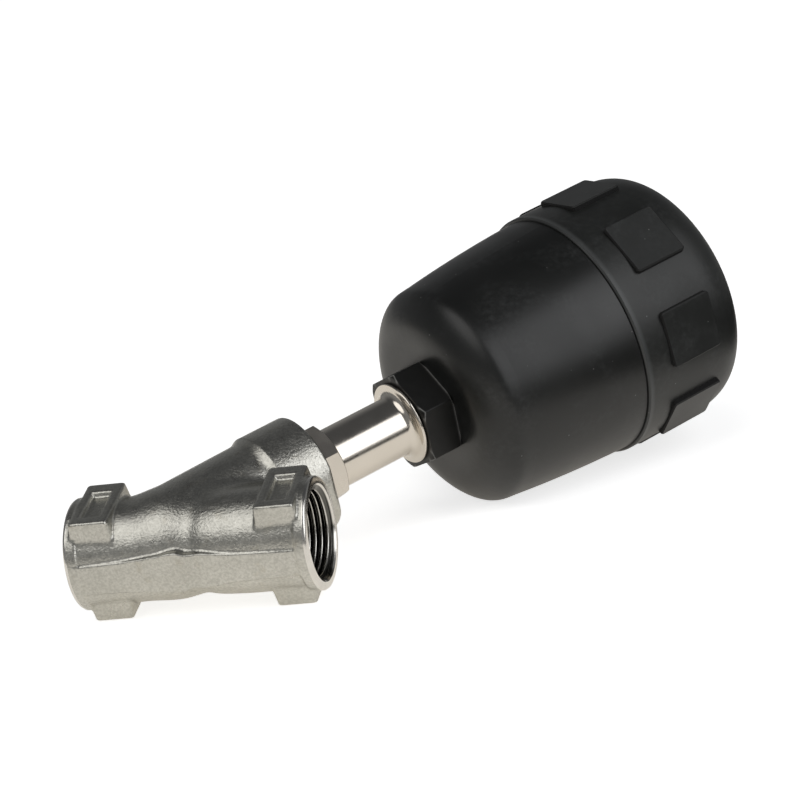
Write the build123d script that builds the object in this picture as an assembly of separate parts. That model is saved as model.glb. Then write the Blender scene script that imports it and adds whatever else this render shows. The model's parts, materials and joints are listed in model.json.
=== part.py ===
from build123d import *
import math
import os

# Angle seat valve with a pneumatic piston actuator, normally closed, threaded ends.
# Millimetres. The valve lies on its side, as it rests on a bench: the flow axis is X,
# and the origin is the centre of the inlet end face. A shape is first drawn in one of
# two working frames and is then placed:
#   body frame: X along the flow from mid-body, Y towards the stem, Z square to both
#   stem frame: Z up the stem from where its axis meets the flow axis, Y to the outlet
# Heights in the stem frame are called "u" in the comments.

# Driving dimensions: valve body
FACE_TO_FACE = 90.0
STEM_ANGLE = 45.0
STEM_FOOT_X = -13.75
REST_TILT = 12.57
PORT_OUTER_R = 20.3
PORT_BAND = 5.0
G1_MAJOR_R = 33.249 / 2
G1_LENGTH = 17.0
BORE_R = 13.0
LUG_ACROSS_FLATS = 42.25
LUG_INNER_X, LUG_OUTER_X, LUG_DRAFT = 26.4, 41.7, 0.5
LUG_END_Y, LUG_CORNER_X, LUG_CORNER_Y = 16.6, 3.1, 2.1
POCKET_DEPTH, POCKET_WIDTH, POCKET_LENGTH = 0.7, 8.4, 15.0
CROTCH_FILLET = 1.2
KEEL_FLAT_Y, KEEL_HALF_WIDTH = -19.2, 5.5
NECK_R, COLLAR_R = 20.8, 22.5
NECK_TOP_U = 62.0
CHAMBER_R = 16.6
SEAT_HOLE_R, SEAT_LIP_R, SEAT_U = 12.5, 14.2, 15.0
WEB_BOTTOM_U, WEB_TOP_U = 11.0, 14.0
NIPPLE_THREAD_R, NIPPLE_SEAT_U = 18.5, 48.0

# Driving dimensions: bonnet nipple and stem packing
NIPPLE_HEX_AF, NIPPLE_HEX_TOP_U = 27.0, 71.3
TUBE_R = 12.2
FLANGE_R, FLANGE_U, FLANGE_TOP_U = 16.1, 104.3, 105.7
SPIGOT_R, SPIGOT_TOP_U = 10.8, 117.0
PACKING_BORE_R, PACKING_FLOOR_U = 8.0, 58.0
SPINDLE_R = 5.0
RUNNING_GAP = 0.05
V_RING_COUNT, V_RING_PITCH, V_RING_THICKNESS = 5, 1.5, 1.4
V_RING_START_U, V_RING_RISE = 67.4, 1.2
PACKING_SPRING_LOW, PACKING_SPRING_TOP, GUIDE_LOW_U = 78.5, 97.5, 99.0
O_RING_U, WIRE_U, WIRE_R = 113.0, 108.6, 0.8

# Driving dimensions: disc
DISC_R, DISC_HUB_R, DISC_TOP_U, DISC_HUB_TOP_U = 15.3, 9.6, 25.0, 33.0
HEAD_R, HEAD_LOW_U, CLIP_U = 7.0, 21.0, 26.5
LIFT = 12.0

# Driving dimensions: actuator
FOOT_HEX_AF, FOOT_HEX_TOP_U = 35.0, 117.0
HEX_TURN = 28.5
HOUSING_BOTTOM_U, HOUSING_FLOOR_U = 119.0, 124.0
SEAM_U, HOUSING_TOP_U = 184.5, 195.5
CYLINDER_R = 40.0
HOUSING_THREAD_R = 45.1
COVER_R, COVER_TOP_U, COVER_ROOF_U = 49.6, 240.5, 236.5
PAD_COUNT, PAD_TURN, PAD_FLAT_R, PAD_WIDTH = 8, 8.0, 50.5, 22.4
PAD_BOTTOM_U, PAD_TOP_U = 196.5, 219.5
PISTON_BOTTOM_U, PISTON_FLOOR_U, PISTON_RIM_TOP_U = 131.5, 146.0, 156.0
NUT_TOP_U, SPINDLE_TOP_U = 156.0, 162.0
PORT_1_U, PORT_1_TURN = 136.0, 210.0
PORT_2_U, PORT_2_TURN = 208.0, 188.0
G14_MAJOR_R = 13.157 / 2
PILOT_FACE_R, PILOT_BOSS_R = 50.5, 10.4
PILOT_INSERT_R, PILOT_INSERT_DEPTH, PILOT_BORE_R = 8.4, 9.2, 3.0
FILTER_R, FILTER_SEAT, FILTER_TOP = 5.2, 1.0, 2.4
FOOT_SHOULDER_R, FOOT_THREAD_R = 16.6, 12.5
LOCK_NUT_TOP_U = 130.5
ROD_SEAL_R, ROD_SEAL_LOW_U = 8.2, 123.0
LIP_SEAL_U, PISTON_GUIDE_U = 148.6, 153.0
SHANK_R = 4.0
COVER_O_RING_U = 193.2
OUTER_SPRING_R, OUTER_WIRE_R, OUTER_COILS = 30.0, 2.25, 6
INNER_SPRING_R, INNER_WIRE_R, INNER_COILS = 17.0, 1.6, 8
INNER_SPRING_U = 142.0
ROD_R, HEAD_ROD_R = 3.5, 4.8
INDICATOR_TUBE_R, INDICATOR_TUBE_U = 8.5, 221.0
INDICATOR_SEAL_U, INDICATOR_HEAD_U, INDICATOR_TOP_U = 224.0, 228.0, 234.0
CAP_R, CAP_THREAD_R = 11.8, 9.0

STEM = Plane(
    origin=(STEM_FOOT_X, 0, 0),
    x_dir=(0, 0, 1),
    z_dir=(math.cos(math.radians(STEM_ANGLE)), math.sin(math.radians(STEM_ANGLE)), 0),
)
REST = Rot(X=REST_TILT) * Pos(X=FACE_TO_FACE / 2)


# Shared forms

def turned(*points):
    """Solid of revolution about Z from its outline as (radius, height) points."""
    outline = Polyline(*[(r, 0, u) for r, u in points], close=True)
    return revolve(make_face(outline), Axis.Z)


def profile_arc(centre_r, centre_u, radius, start, end):
    """Arc of a profile, from one angle to another, measured from outwards to upwards."""
    angles = [math.radians(a) for a in (start, (start + end) / 2, end)]
    return ThreePointArc(
        *[(centre_r + radius * math.cos(a), 0, centre_u + radius * math.sin(a)) for a in angles]
    )


def ring(inner, outer, low, high):
    """Plain ring or bush about Z."""
    return turned((inner, low), (outer, low), (outer, high), (inner, high))


def o_ring(mean_radius, cord_radius, height):
    return Pos(Z=height) * Torus(mean_radius, cord_radius)


def hexagon(across_flats, low, high, corner_angle):
    """Hexagonal prism about Z with one corner at an angle from the outlet side."""
    corner_radius = across_flats / math.sqrt(3)
    sketch = Rot(Z=90 - corner_angle) * RegularPolygon(corner_radius, 6)
    return Pos(Z=low) * extrude(sketch, high - low)


def nut_chamfer(across_flats, low, high, both=True):
    """Cone-ended blank that rounds the corners of a hexagon of this width."""
    corner = across_flats / math.sqrt(3) + 0.2
    flat = across_flats / 2 - 0.1
    drop = (corner - flat) * math.tan(math.radians(30))
    bottom = [(flat, low), (corner, low + drop)] if both else [(corner, low)]
    return turned((0, low), *bottom, (corner, high - drop), (flat, high), (0, high))


def around_stem(angle):
    """Turn a shape made on +X to an angle from the outlet side, in the stem frame."""
    return Rot(Z=90 - angle)


def coil(mean_radius, wire_radius, low, high, turns):
    """Compression spring whose wire just touches both seats."""
    pitch = (high - low - 2 * wire_radius) / turns
    path = Helix(pitch, pitch * turns, mean_radius)
    wire = Plane(origin=path @ 0, z_dir=path % 0) * RegularPolygon(wire_radius, 6)
    return Pos(Z=low + wire_radius + 0.1) * sweep(wire, path, is_frenet=True)


# Valve body

def run_barrel():
    """Cast run of the body: two port ends and a swelling waist between them."""
    half = FACE_TO_FACE / 2
    band = half - PORT_BAND
    right = [(5.5, 18.5), (16, 19.0), (27, 19.1), (34, 19.8)]
    left = [(-34, 19.8), (-27, 19.0), (-18, 18.7), (-10, 18.3), (-1, 17.4)]
    waist = Spline([(x, 0, r) for x, r in [(-band, 20.1), *left, *right, (band, 20.1)]])
    ends = Polyline(
        (band, 0, 20.1),
        (band + 0.5, 0, PORT_OUTER_R),
        (half - 0.9, 0, PORT_OUTER_R),
        (half, 0, PORT_OUTER_R - 0.9),
        (half, 0, 0),
        (-half, 0, 0),
        (-half, 0, PORT_OUTER_R - 0.9),
        (-half + 0.9, 0, PORT_OUTER_R),
        (-band - 0.5, 0, PORT_OUTER_R),
        (-band, 0, 20.1),
    )
    return revolve(make_face([waist, ends]), Axis.X)


def neck():
    """Branch towards the bonnet, with a ball-shaped foot that swells the run."""
    foot_u, foot_r = 6.0, NECK_R - 0.4
    profile = [
        profile_arc(0, foot_u, foot_r, -90, 0),
        Polyline(
            (foot_r, 0, foot_u),
            (NECK_R + 0.2, 0, 40.5),
            (COLLAR_R - 0.1, 0, 44.5),
            (COLLAR_R, 0, NECK_TOP_U - 1.0),
            (COLLAR_R - 1.0, 0, NECK_TOP_U),
            (0, 0, NECK_TOP_U),
            (0, 0, foot_u - foot_r),
        ),
    ]
    return STEM * revolve(make_face(profile), Axis.Z)


def wrench_lugs(sign):
    """Upper and lower wrench lugs of one port: parts of a hexagon with drafted ends."""
    half, corner_r = FACE_TO_FACE / 2, LUG_ACROSS_FLATS / math.sqrt(3)
    prism = Rot(Y=90) * extrude(RegularPolygon(corner_r, 6, rotation=30), half, both=True)
    ends = Polyline(
        (sign * (LUG_INNER_X - LUG_DRAFT), 0, 0),
        (sign * (LUG_INNER_X - LUG_DRAFT), 0, PORT_OUTER_R - 1),
        (sign * LUG_INNER_X, 0, corner_r + 0.3),
        (sign * LUG_OUTER_X, 0, corner_r + 0.3),
        (sign * (LUG_OUTER_X + LUG_DRAFT), 0, PORT_OUTER_R - 1),
        (sign * (LUG_OUTER_X + LUG_DRAFT), 0, 0),
        close=True,
    )
    lugs = prism & revolve(make_face(ends), Axis.X)
    plan = Polyline(
        (sign * (LUG_INNER_X - 1), LUG_END_Y),
        (sign * (LUG_OUTER_X - LUG_CORNER_X), LUG_END_Y),
        (sign * (LUG_OUTER_X + LUG_DRAFT), LUG_END_Y - LUG_CORNER_Y),
        (sign * (LUG_OUTER_X + LUG_DRAFT), -LUG_END_Y + LUG_CORNER_Y),
        (sign * (LUG_OUTER_X - LUG_CORNER_X), -LUG_END_Y),
        (sign * (LUG_INNER_X - 1), -LUG_END_Y),
        close=True,
    )
    lugs &= extrude(make_face(plan), corner_r, both=True)
    rounded = [
        edge
        for edge in lugs.edges().filter_by(GeomType.LINE)
        if abs(edge.center().Z) > 13 and edge.length > 6
    ]
    return fillet(rounded, 0.9)


def lug_pocket(sign):
    """Shallow cast pocket in the face of an upper lug, where a marking could go."""
    slab = Box(POCKET_WIDTH, POCKET_LENGTH, 2 * POCKET_DEPTH)
    slab = fillet(slab.edges().filter_by(Axis.Z), 1.2)
    middle = (LUG_INNER_X + LUG_OUTER_X) / 2
    return Pos(sign * middle, -0.5, LUG_ACROSS_FLATS / 2) * slab


def along_x(radius, low, high):
    return Pos(X=(low + high) / 2) * Rot(Y=90) * Cylinder(radius, high - low)


def port_thread_bore(sign):
    """Threaded port, cut at the thread's major diameter, with its lead-in chamfer."""
    half = FACE_TO_FACE / 2
    inner = half - G1_LENGTH
    outline = Polyline(
        (sign * inner, 0, 0),
        (sign * inner, 0, G1_MAJOR_R),
        (sign * (half - 0.45), 0, G1_MAJOR_R),
        (sign * (half + 0.1), 0, G1_MAJOR_R + 0.85),
        (sign * (half + 0.1), 0, 0),
        close=True,
    )
    return revolve(make_face(outline), Axis.X)


def crotch_edges(body):
    """The curve where the neck leaves the run on the inlet side."""
    return [
        edge
        for edge in body.edges().filter_by(GeomType.BSPLINE)
        if -26 < edge.center().X < -17
    ]


def valve_body():
    """Investment-cast Y body with a sloping web that carries the seat."""
    keel_depth = 9.0
    keel = Pos(Y=KEEL_FLAT_Y + keel_depth / 2) * Box(84, keel_depth, 2 * KEEL_HALF_WIDTH)
    body = run_barrel() + neck()
    body = fillet(crotch_edges(body), CROTCH_FILLET) + keel
    for sign in (-1, 1):
        body += wrench_lugs(sign)
        body -= lug_pocket(sign)
        body -= port_thread_bore(sign)
    below_web = STEM * Pos(Z=WEB_BOTTOM_U - 50) * Box(150, 150, 100)
    above_web = STEM * Pos(Z=WEB_TOP_U + 50) * Box(150, 150, 100)
    approach = STEM * Pos(Z=3) * Cylinder(SEAT_HOLE_R, 20)
    body -= (along_x(BORE_R, -40, 35) + approach) & below_web
    body -= along_x(BORE_R, -20, 40) & above_web
    body -= STEM * turned(
        (0, WEB_TOP_U),
        (CHAMBER_R, WEB_TOP_U),
        (CHAMBER_R, NIPPLE_SEAT_U),
        (NIPPLE_THREAD_R, NIPPLE_SEAT_U),
        (NIPPLE_THREAD_R, NECK_TOP_U - 0.8),
        (NIPPLE_THREAD_R + 0.9, NECK_TOP_U + 0.1),
        (0, NECK_TOP_U + 0.1),
    )
    body += STEM * ring(SEAT_HOLE_R, SEAT_LIP_R, WEB_TOP_U - 1, SEAT_U)
    return body - STEM * Pos(Z=WEB_BOTTOM_U) * Cylinder(SEAT_HOLE_R, 12)


# Bonnet nipple and what packs the stem inside it (stem frame)

def body_gasket():
    return ring(CHAMBER_R + 0.3, NIPPLE_THREAD_R - 0.2, NIPPLE_SEAT_U, NIPPLE_SEAT_U + 1.2)


def nipple():
    """Turned bonnet: threaded foot, spanner hexagon, tube, flared flange and spigot."""
    thread_r = NIPPLE_THREAD_R - RUNNING_GAP
    flare_r = FLANGE_R - TUBE_R - 0.6
    shank = Polyline(
        (0, 0, NIPPLE_SEAT_U),
        (CHAMBER_R - 0.6, 0, NIPPLE_SEAT_U),
        (CHAMBER_R - 0.6, 0, NIPPLE_SEAT_U + 1.2),
        (thread_r - 0.6, 0, NIPPLE_SEAT_U + 1.2),
        (thread_r, 0, NIPPLE_SEAT_U + 1.8),
        (thread_r, 0, NECK_TOP_U - 0.9),
        (thread_r - 0.9, 0, NECK_TOP_U),
        (TUBE_R, 0, NECK_TOP_U),
        (TUBE_R, 0, FLANGE_U - 1 - flare_r),
    )
    flare = profile_arc(TUBE_R + flare_r, FLANGE_U - 1 - flare_r, flare_r, 180, 90)
    top = Polyline(
        (TUBE_R + flare_r, 0, FLANGE_U - 1),
        (FLANGE_R - 0.4, 0, FLANGE_U - 0.6),
        (FLANGE_R, 0, FLANGE_U),
        (FLANGE_R, 0, FLANGE_TOP_U - 0.4),
        (FLANGE_R - 0.4, 0, FLANGE_TOP_U),
        (SPIGOT_R, 0, FLANGE_TOP_U),
        (SPIGOT_R, 0, O_RING_U - 1.2),
        (SPIGOT_R - 1.6, 0, O_RING_U - 1.2),
        (SPIGOT_R - 1.6, 0, O_RING_U + 1.2),
        (SPIGOT_R, 0, O_RING_U + 1.2),
        (SPIGOT_R, 0, SPIGOT_TOP_U - 0.6),
        (SPIGOT_R - 0.6, 0, SPIGOT_TOP_U),
        (0, 0, SPIGOT_TOP_U),
        (0, 0, NIPPLE_SEAT_U),
    )
    blank = revolve(make_face([shank, flare, top]), Axis.Z)
    nut = hexagon(NIPPLE_HEX_AF, NECK_TOP_U, NIPPLE_HEX_TOP_U, HEX_TURN + 6.5)
    nut &= nut_chamfer(NIPPLE_HEX_AF, NECK_TOP_U, NIPPLE_HEX_TOP_U, both=False)
    bore = turned(
        (0, NIPPLE_SEAT_U - 1),
        (SPINDLE_R + 0.6, NIPPLE_SEAT_U - 1),
        (SPINDLE_R + 0.6, PACKING_FLOOR_U),
        (PACKING_BORE_R, PACKING_FLOOR_U),
        (PACKING_BORE_R, SPIGOT_TOP_U + 1),
        (0, SPIGOT_TOP_U + 1),
    )
    return blank + nut - bore - o_ring(SPIGOT_R, WIRE_R + RUNNING_GAP, WIRE_U)


def v_ring(height):
    """One chevron of the packing set; it fits the hollow of the next."""
    inner, outer = SPINDLE_R + RUNNING_GAP, PACKING_BORE_R - RUNNING_GAP
    middle = (inner + outer) / 2
    return turned(
        (inner, height),
        (middle, height + V_RING_RISE),
        (outer, height),
        (outer, height + V_RING_THICKNESS),
        (middle, height + V_RING_RISE + V_RING_THICKNESS),
        (inner, height + V_RING_THICKNESS),
    )


def stem_packing():
    """The pieces inside the nipple, from its floor up to the wiper end."""
    inner, outer = SPINDLE_R + RUNNING_GAP, PACKING_BORE_R - RUNNING_GAP
    middle = (inner + outer) / 2
    slack = V_RING_PITCH - V_RING_THICKNESS
    stack_top = V_RING_START_U + V_RING_COUNT * V_RING_PITCH
    starts = [V_RING_START_U + i * V_RING_PITCH for i in range(V_RING_COUNT)]
    return {
        "lower_guide_bush": ring(inner, outer, PACKING_FLOOR_U, 66.0),
        "packing_support_ring": turned(
            (inner, 66.0),
            (outer, 66.0),
            (outer, V_RING_START_U - slack),
            (middle, V_RING_START_U + V_RING_RISE - slack),
            (inner, V_RING_START_U - slack),
        ),
        "packing_v_rings": Compound(children=[v_ring(start) for start in starts]),
        "packing_pressure_ring": turned(
            (inner, stack_top),
            (middle, stack_top + V_RING_RISE),
            (outer, stack_top),
            (outer, PACKING_SPRING_LOW),
            (inner, PACKING_SPRING_LOW),
        ),
        "packing_spring": coil(6.5, 0.9, PACKING_SPRING_LOW, PACKING_SPRING_TOP, 5),
        "packing_washer": ring(inner + 0.3, outer, PACKING_SPRING_TOP, GUIDE_LOW_U),
        "upper_guide_bush": turned(
            (inner, GUIDE_LOW_U),
            (outer, GUIDE_LOW_U),
            (outer, SPIGOT_TOP_U),
            (SPIGOT_R - 0.4, SPIGOT_TOP_U),
            (SPIGOT_R - 0.4, HOUSING_BOTTOM_U - RUNNING_GAP),
            (inner, HOUSING_BOTTOM_U - RUNNING_GAP),
        ),
        "swivel_wire_ring": o_ring(SPIGOT_R, WIRE_R, WIRE_U),
    }


# Disc and spindle (stem frame)

def disc():
    """Valve disc with a socket on top that hangs on the spindle's head."""
    return turned(
        (0, SEAT_U + 1.0),
        (8.6, SEAT_U + 1.0),
        (8.6, SEAT_U + 3.4),
        (DISC_R - 0.5, SEAT_U + 3.4),
        (DISC_R, SEAT_U + 3.9),
        (DISC_R, DISC_TOP_U - 3.0),
        (DISC_R - 1.2, DISC_TOP_U - 1.6),
        (DISC_HUB_R + 0.8, DISC_TOP_U),
        (DISC_HUB_R, DISC_TOP_U + 0.8),
        (DISC_HUB_R, DISC_HUB_TOP_U - 1.0),
        (DISC_HUB_R - 1.0, DISC_HUB_TOP_U),
        (HEAD_R + 0.3, DISC_HUB_TOP_U),
        (HEAD_R + 0.3, CLIP_U + 0.7),
        (HEAD_R + 1.3, CLIP_U + 0.7),
        (HEAD_R + 1.3, CLIP_U - 0.7),
        (HEAD_R + 0.3, CLIP_U - 0.7),
        (HEAD_R + 0.3, HEAD_LOW_U),
        (0, HEAD_LOW_U),
    )


def disc_parts():
    return {
        "disc": disc(),
        "disc_seal": turned(
            (8.65, SEAT_U),
            (DISC_R - 0.7, SEAT_U),
            (DISC_R - 0.3, SEAT_U + 0.4),
            (DISC_R - 0.3, SEAT_U + 3.35),
            (8.65, SEAT_U + 3.35),
        ),
        "seal_retainer": turned(
            (0, SEAT_U - 2.4),
            (9.2, SEAT_U - 2.4),
            (10.6, SEAT_U - 1.0),
            (10.6, SEAT_U - 0.05),
            (8.6, SEAT_U - 0.05),
            (8.6, SEAT_U + 0.95),
            (0, SEAT_U + 0.95),
        ),
        "disc_clip": disc_clip(),
    }


def disc_clip():
    """Snap ring over the spindle's head, open on one side for the pliers."""
    whole = ring(SPINDLE_R + 0.5, HEAD_R + 1.2, CLIP_U - 0.6, CLIP_U + 0.6)
    return whole - Pos(X=HEAD_R, Z=CLIP_U) * Box(2 * HEAD_R - 4, 4.5, 3)


def spindle():
    """Ground spindle with a round head below and a threaded shank above."""
    return turned(
        (0, HEAD_LOW_U + RUNNING_GAP),
        (HEAD_R - 0.8, HEAD_LOW_U + RUNNING_GAP),
        (HEAD_R, HEAD_LOW_U + 0.8),
        (HEAD_R, CLIP_U - 0.75),
        (SPINDLE_R, CLIP_U - 0.75),
        (SPINDLE_R, PISTON_BOTTOM_U),
        (SHANK_R, PISTON_BOTTOM_U),
        (SHANK_R, SPINDLE_TOP_U - 0.6),
        (SHANK_R - 0.6, SPINDLE_TOP_U),
        (0, SPINDLE_TOP_U),
    )


# Actuator (stem frame)

def foot_bush():
    """Hexagonal foot that turns on the nipple and carries the housing."""
    nut = hexagon(FOOT_HEX_AF, FLANGE_TOP_U, FOOT_HEX_TOP_U, HEX_TURN)
    nut &= nut_chamfer(FOOT_HEX_AF, FLANGE_TOP_U, FOOT_HEX_TOP_U)
    shank = turned(
        (0, FLANGE_TOP_U + 1),
        (FOOT_SHOULDER_R, FLANGE_TOP_U + 1),
        (FOOT_SHOULDER_R, HOUSING_BOTTOM_U),
        (FOOT_THREAD_R, HOUSING_BOTTOM_U),
        (FOOT_THREAD_R, LOCK_NUT_TOP_U - 1.5),
        (0, LOCK_NUT_TOP_U - 1.5),
    )
    bore = turned(
        (0, FLANGE_TOP_U),
        (SPIGOT_R + 0.5, FLANGE_TOP_U),
        (SPIGOT_R + RUNNING_GAP, FLANGE_TOP_U + 0.5),
        (SPIGOT_R + RUNNING_GAP, HOUSING_BOTTOM_U),
        (SPINDLE_R + 1.0, HOUSING_BOTTOM_U),
        (SPINDLE_R + 1.0, ROD_SEAL_LOW_U),
        (ROD_SEAL_R, ROD_SEAL_LOW_U),
        (ROD_SEAL_R, LOCK_NUT_TOP_U),
        (0, LOCK_NUT_TOP_U),
    )
    return nut + shank - bore - o_ring(SPIGOT_R, WIRE_R + RUNNING_GAP, WIRE_U)


def lock_nut():
    """Cap nut inside the housing; its lip also holds the rod seal down."""
    nut = hexagon(30, HOUSING_FLOOR_U, LOCK_NUT_TOP_U, HEX_TURN)
    nut &= nut_chamfer(30, HOUSING_FLOOR_U, LOCK_NUT_TOP_U, both=False)
    return nut - turned(
        (0, HOUSING_FLOOR_U),
        (FOOT_THREAD_R + RUNNING_GAP, HOUSING_FLOOR_U),
        (FOOT_THREAD_R + RUNNING_GAP, LOCK_NUT_TOP_U - 1.5),
        (SPINDLE_R + 0.6, LOCK_NUT_TOP_U - 1.5),
        (SPINDLE_R + 0.6, LOCK_NUT_TOP_U),
        (0, LOCK_NUT_TOP_U),
    )


def air_port(radius, inner_r, outer_r, height, turn):
    """Cylinder along the radius of an air port: its boss, its insert or its bore."""
    shape = Rot(Y=90) * Cylinder(radius, outer_r - inner_r)
    return around_stem(turn) * Pos((inner_r + outer_r) / 2, 0, height) * shape


def port_insert(outer_r, height, turn):
    """Threaded metal insert of an air port, bored at the thread's major diameter."""
    inner_r = outer_r - PILOT_INSERT_DEPTH
    insert = air_port(PILOT_INSERT_R, inner_r, outer_r, height, turn)
    insert -= air_port(G14_MAJOR_R, inner_r + FILTER_TOP, outer_r + 1, height, turn)
    insert -= air_port(FILTER_R, inner_r + FILTER_SEAT, outer_r, height, turn)
    return insert - air_port(PILOT_BORE_R, inner_r - 1, outer_r, height, turn)


def housing_profile():
    """Outer wall of the housing from its foot to the joint with the cover."""
    shoulder = Spline(
        [(18.0, 0, HOUSING_BOTTOM_U), (35.6, 0, 121.1), (43.1, 0, 128.0), (44.2, 0, 134.5)],
        tangents=[(1, 0, 0), (0.12, 0, 1)],
    )
    wall = ThreePointArc((44.2, 0, 134.5), (46.9, 0, 160), (48.4, 0, SEAM_U))
    return shoulder, wall


def housing():
    """Moulded lower case: rounded foot, slightly barrelled wall and cylinder bore."""
    outer = Polyline(
        (48.4, 0, SEAM_U),
        (HOUSING_THREAD_R, 0, SEAM_U),
        (HOUSING_THREAD_R, 0, COVER_O_RING_U - 1.2),
        (HOUSING_THREAD_R - 1.7, 0, COVER_O_RING_U - 1.2),
        (HOUSING_THREAD_R - 1.7, 0, COVER_O_RING_U + 1.2),
        (HOUSING_THREAD_R, 0, COVER_O_RING_U + 1.2),
        (HOUSING_THREAD_R, 0, HOUSING_TOP_U),
        (0, 0, HOUSING_TOP_U),
        (0, 0, HOUSING_BOTTOM_U),
        (18.0, 0, HOUSING_BOTTOM_U),
    )
    shell = revolve(make_face([*housing_profile(), outer]), Axis.Z)
    corner = 10.0
    bore = [
        Polyline(
            (CYLINDER_R, 0, HOUSING_FLOOR_U + corner),
            (CYLINDER_R, 0, HOUSING_TOP_U + 1),
            (0, 0, HOUSING_TOP_U + 1),
            (0, 0, HOUSING_FLOOR_U),
            (CYLINDER_R - corner, 0, HOUSING_FLOOR_U),
        ),
        profile_arc(CYLINDER_R - corner, HOUSING_FLOOR_U + corner, corner, -90, 0),
    ]
    port_1 = (PORT_1_U, PORT_1_TURN)
    shell += air_port(PILOT_BOSS_R, CYLINDER_R + 0.6, PILOT_FACE_R, *port_1)
    shell -= revolve(make_face(bore), Axis.Z)
    shell -= Pos(Z=HOUSING_BOTTOM_U) * Cylinder(FOOT_THREAD_R + RUNNING_GAP, 12)
    shell -= ring(FOOT_SHOULDER_R - 3.2, FOOT_SHOULDER_R - 1.0, HOUSING_BOTTOM_U - 1, 120.7)
    insert_in = PILOT_FACE_R - PILOT_INSERT_DEPTH
    shell -= air_port(PILOT_INSERT_R, insert_in, PILOT_FACE_R + 1, *port_1)
    return shell - air_port(PILOT_BORE_R, CYLINDER_R - 6, insert_in + 1, *port_1)


def piston():
    """Dished piston with a seal groove, a guide groove and seats for two springs."""
    rim_r = CYLINDER_R - 0.3
    return turned(
        (SHANK_R + 0.05, PISTON_BOTTOM_U),
        (11.0, PISTON_BOTTOM_U),
        (13.0, PISTON_BOTTOM_U + 3.0),
        (31.0, PISTON_BOTTOM_U + 8.5),
        (35.5, PISTON_BOTTOM_U + 13.0),
        (rim_r - 0.6, PISTON_BOTTOM_U + 13.0),
        (rim_r, PISTON_BOTTOM_U + 13.6),
        (rim_r, LIP_SEAL_U - 1.8),
        (rim_r - 3.2, LIP_SEAL_U - 1.8),
        (rim_r - 3.2, LIP_SEAL_U + 1.8),
        (rim_r, LIP_SEAL_U + 1.8),
        (rim_r, PISTON_GUIDE_U - 1.3),
        (rim_r - 1.4, PISTON_GUIDE_U - 1.3),
        (rim_r - 1.4, PISTON_GUIDE_U + 1.3),
        (rim_r, PISTON_GUIDE_U + 1.3),
        (rim_r, PISTON_RIM_TOP_U - 0.5),
        (rim_r - 0.5, PISTON_RIM_TOP_U),
        (rim_r - 5.4, PISTON_RIM_TOP_U),
        (rim_r - 6.6, PISTON_FLOOR_U),
        (25.5, PISTON_FLOOR_U),
        (24.0, PISTON_FLOOR_U - 3.2),
        (21.0, PISTON_FLOOR_U - 3.2),
        (20.0, INNER_SPRING_U),
        (13.6, INNER_SPRING_U),
        (12.0, PISTON_FLOOR_U + 2),
        (SHANK_R + 0.05, PISTON_FLOOR_U + 2),
    )


def piston_parts():
    rim_r = CYLINDER_R - 0.3
    nut_low = PISTON_FLOOR_U + 3.6
    nut = hexagon(13, nut_low, NUT_TOP_U, HEX_TURN)
    nut &= nut_chamfer(13, nut_low, NUT_TOP_U)
    return {
        "piston": piston(),
        "piston_seal": turned(
            (rim_r - 3.15, LIP_SEAL_U - 1.7),
            (rim_r - 1.3, LIP_SEAL_U - 1.7),
            (rim_r - 1.3, LIP_SEAL_U - 0.4),
            (CYLINDER_R - 0.02, LIP_SEAL_U - 1.7),
            (CYLINDER_R - 0.02, LIP_SEAL_U - 0.6),
            (rim_r - 0.4, LIP_SEAL_U + 1.7),
            (rim_r - 3.15, LIP_SEAL_U + 1.7),
        ),
        "piston_guide_ring": ring(
            rim_r - 1.35, CYLINDER_R - 0.05, PISTON_GUIDE_U - 1.2, PISTON_GUIDE_U + 1.2
        ),
        "piston_washer": ring(SHANK_R + 0.1, 8.5, PISTON_FLOOR_U + 2, nut_low),
        "piston_nut": nut - Pos(Z=nut_low) * Cylinder(SHANK_R + 0.02, 30),
    }


def cover_shell():
    """Screwed cap of the actuator with eight flat grip pads round its skirt."""
    skirt = Polyline(
        (COVER_R - 0.6, 0, SEAM_U + 0.3),
        (COVER_R, 0, SEAM_U + 0.9),
        (COVER_R, 0, PAD_TOP_U),
    )
    dome = Spline(
        [(COVER_R, 0, PAD_TOP_U), (45.0, 0, 232.7), (32.2, 0, 239.5), (18.0, 0, COVER_TOP_U)],
        tangents=[(0, 0, 1), (-1, 0, 0)],
    )
    closing = Polyline(
        (18.0, 0, COVER_TOP_U),
        (0, 0, COVER_TOP_U),
        (0, 0, SEAM_U + 0.3),
        (COVER_R - 0.6, 0, SEAM_U + 0.3),
    )
    return revolve(make_face([skirt, dome, closing]), Axis.Z)


def grip_pad():
    """One flat pad: a chord across the skirt, proud at its two ends."""
    inner = COVER_R - 6
    slab = Pos((inner + PAD_FLAT_R) / 2, 0, (PAD_BOTTOM_U + PAD_TOP_U) / 2) * Box(
        PAD_FLAT_R - inner, PAD_WIDTH, PAD_TOP_U - PAD_BOTTOM_U
    )
    slab = fillet(slab.edges().filter_by(Axis.X), 1.5)
    return chamfer(slab.faces().sort_by(Axis.X)[-1].edges(), 0.5)


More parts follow.
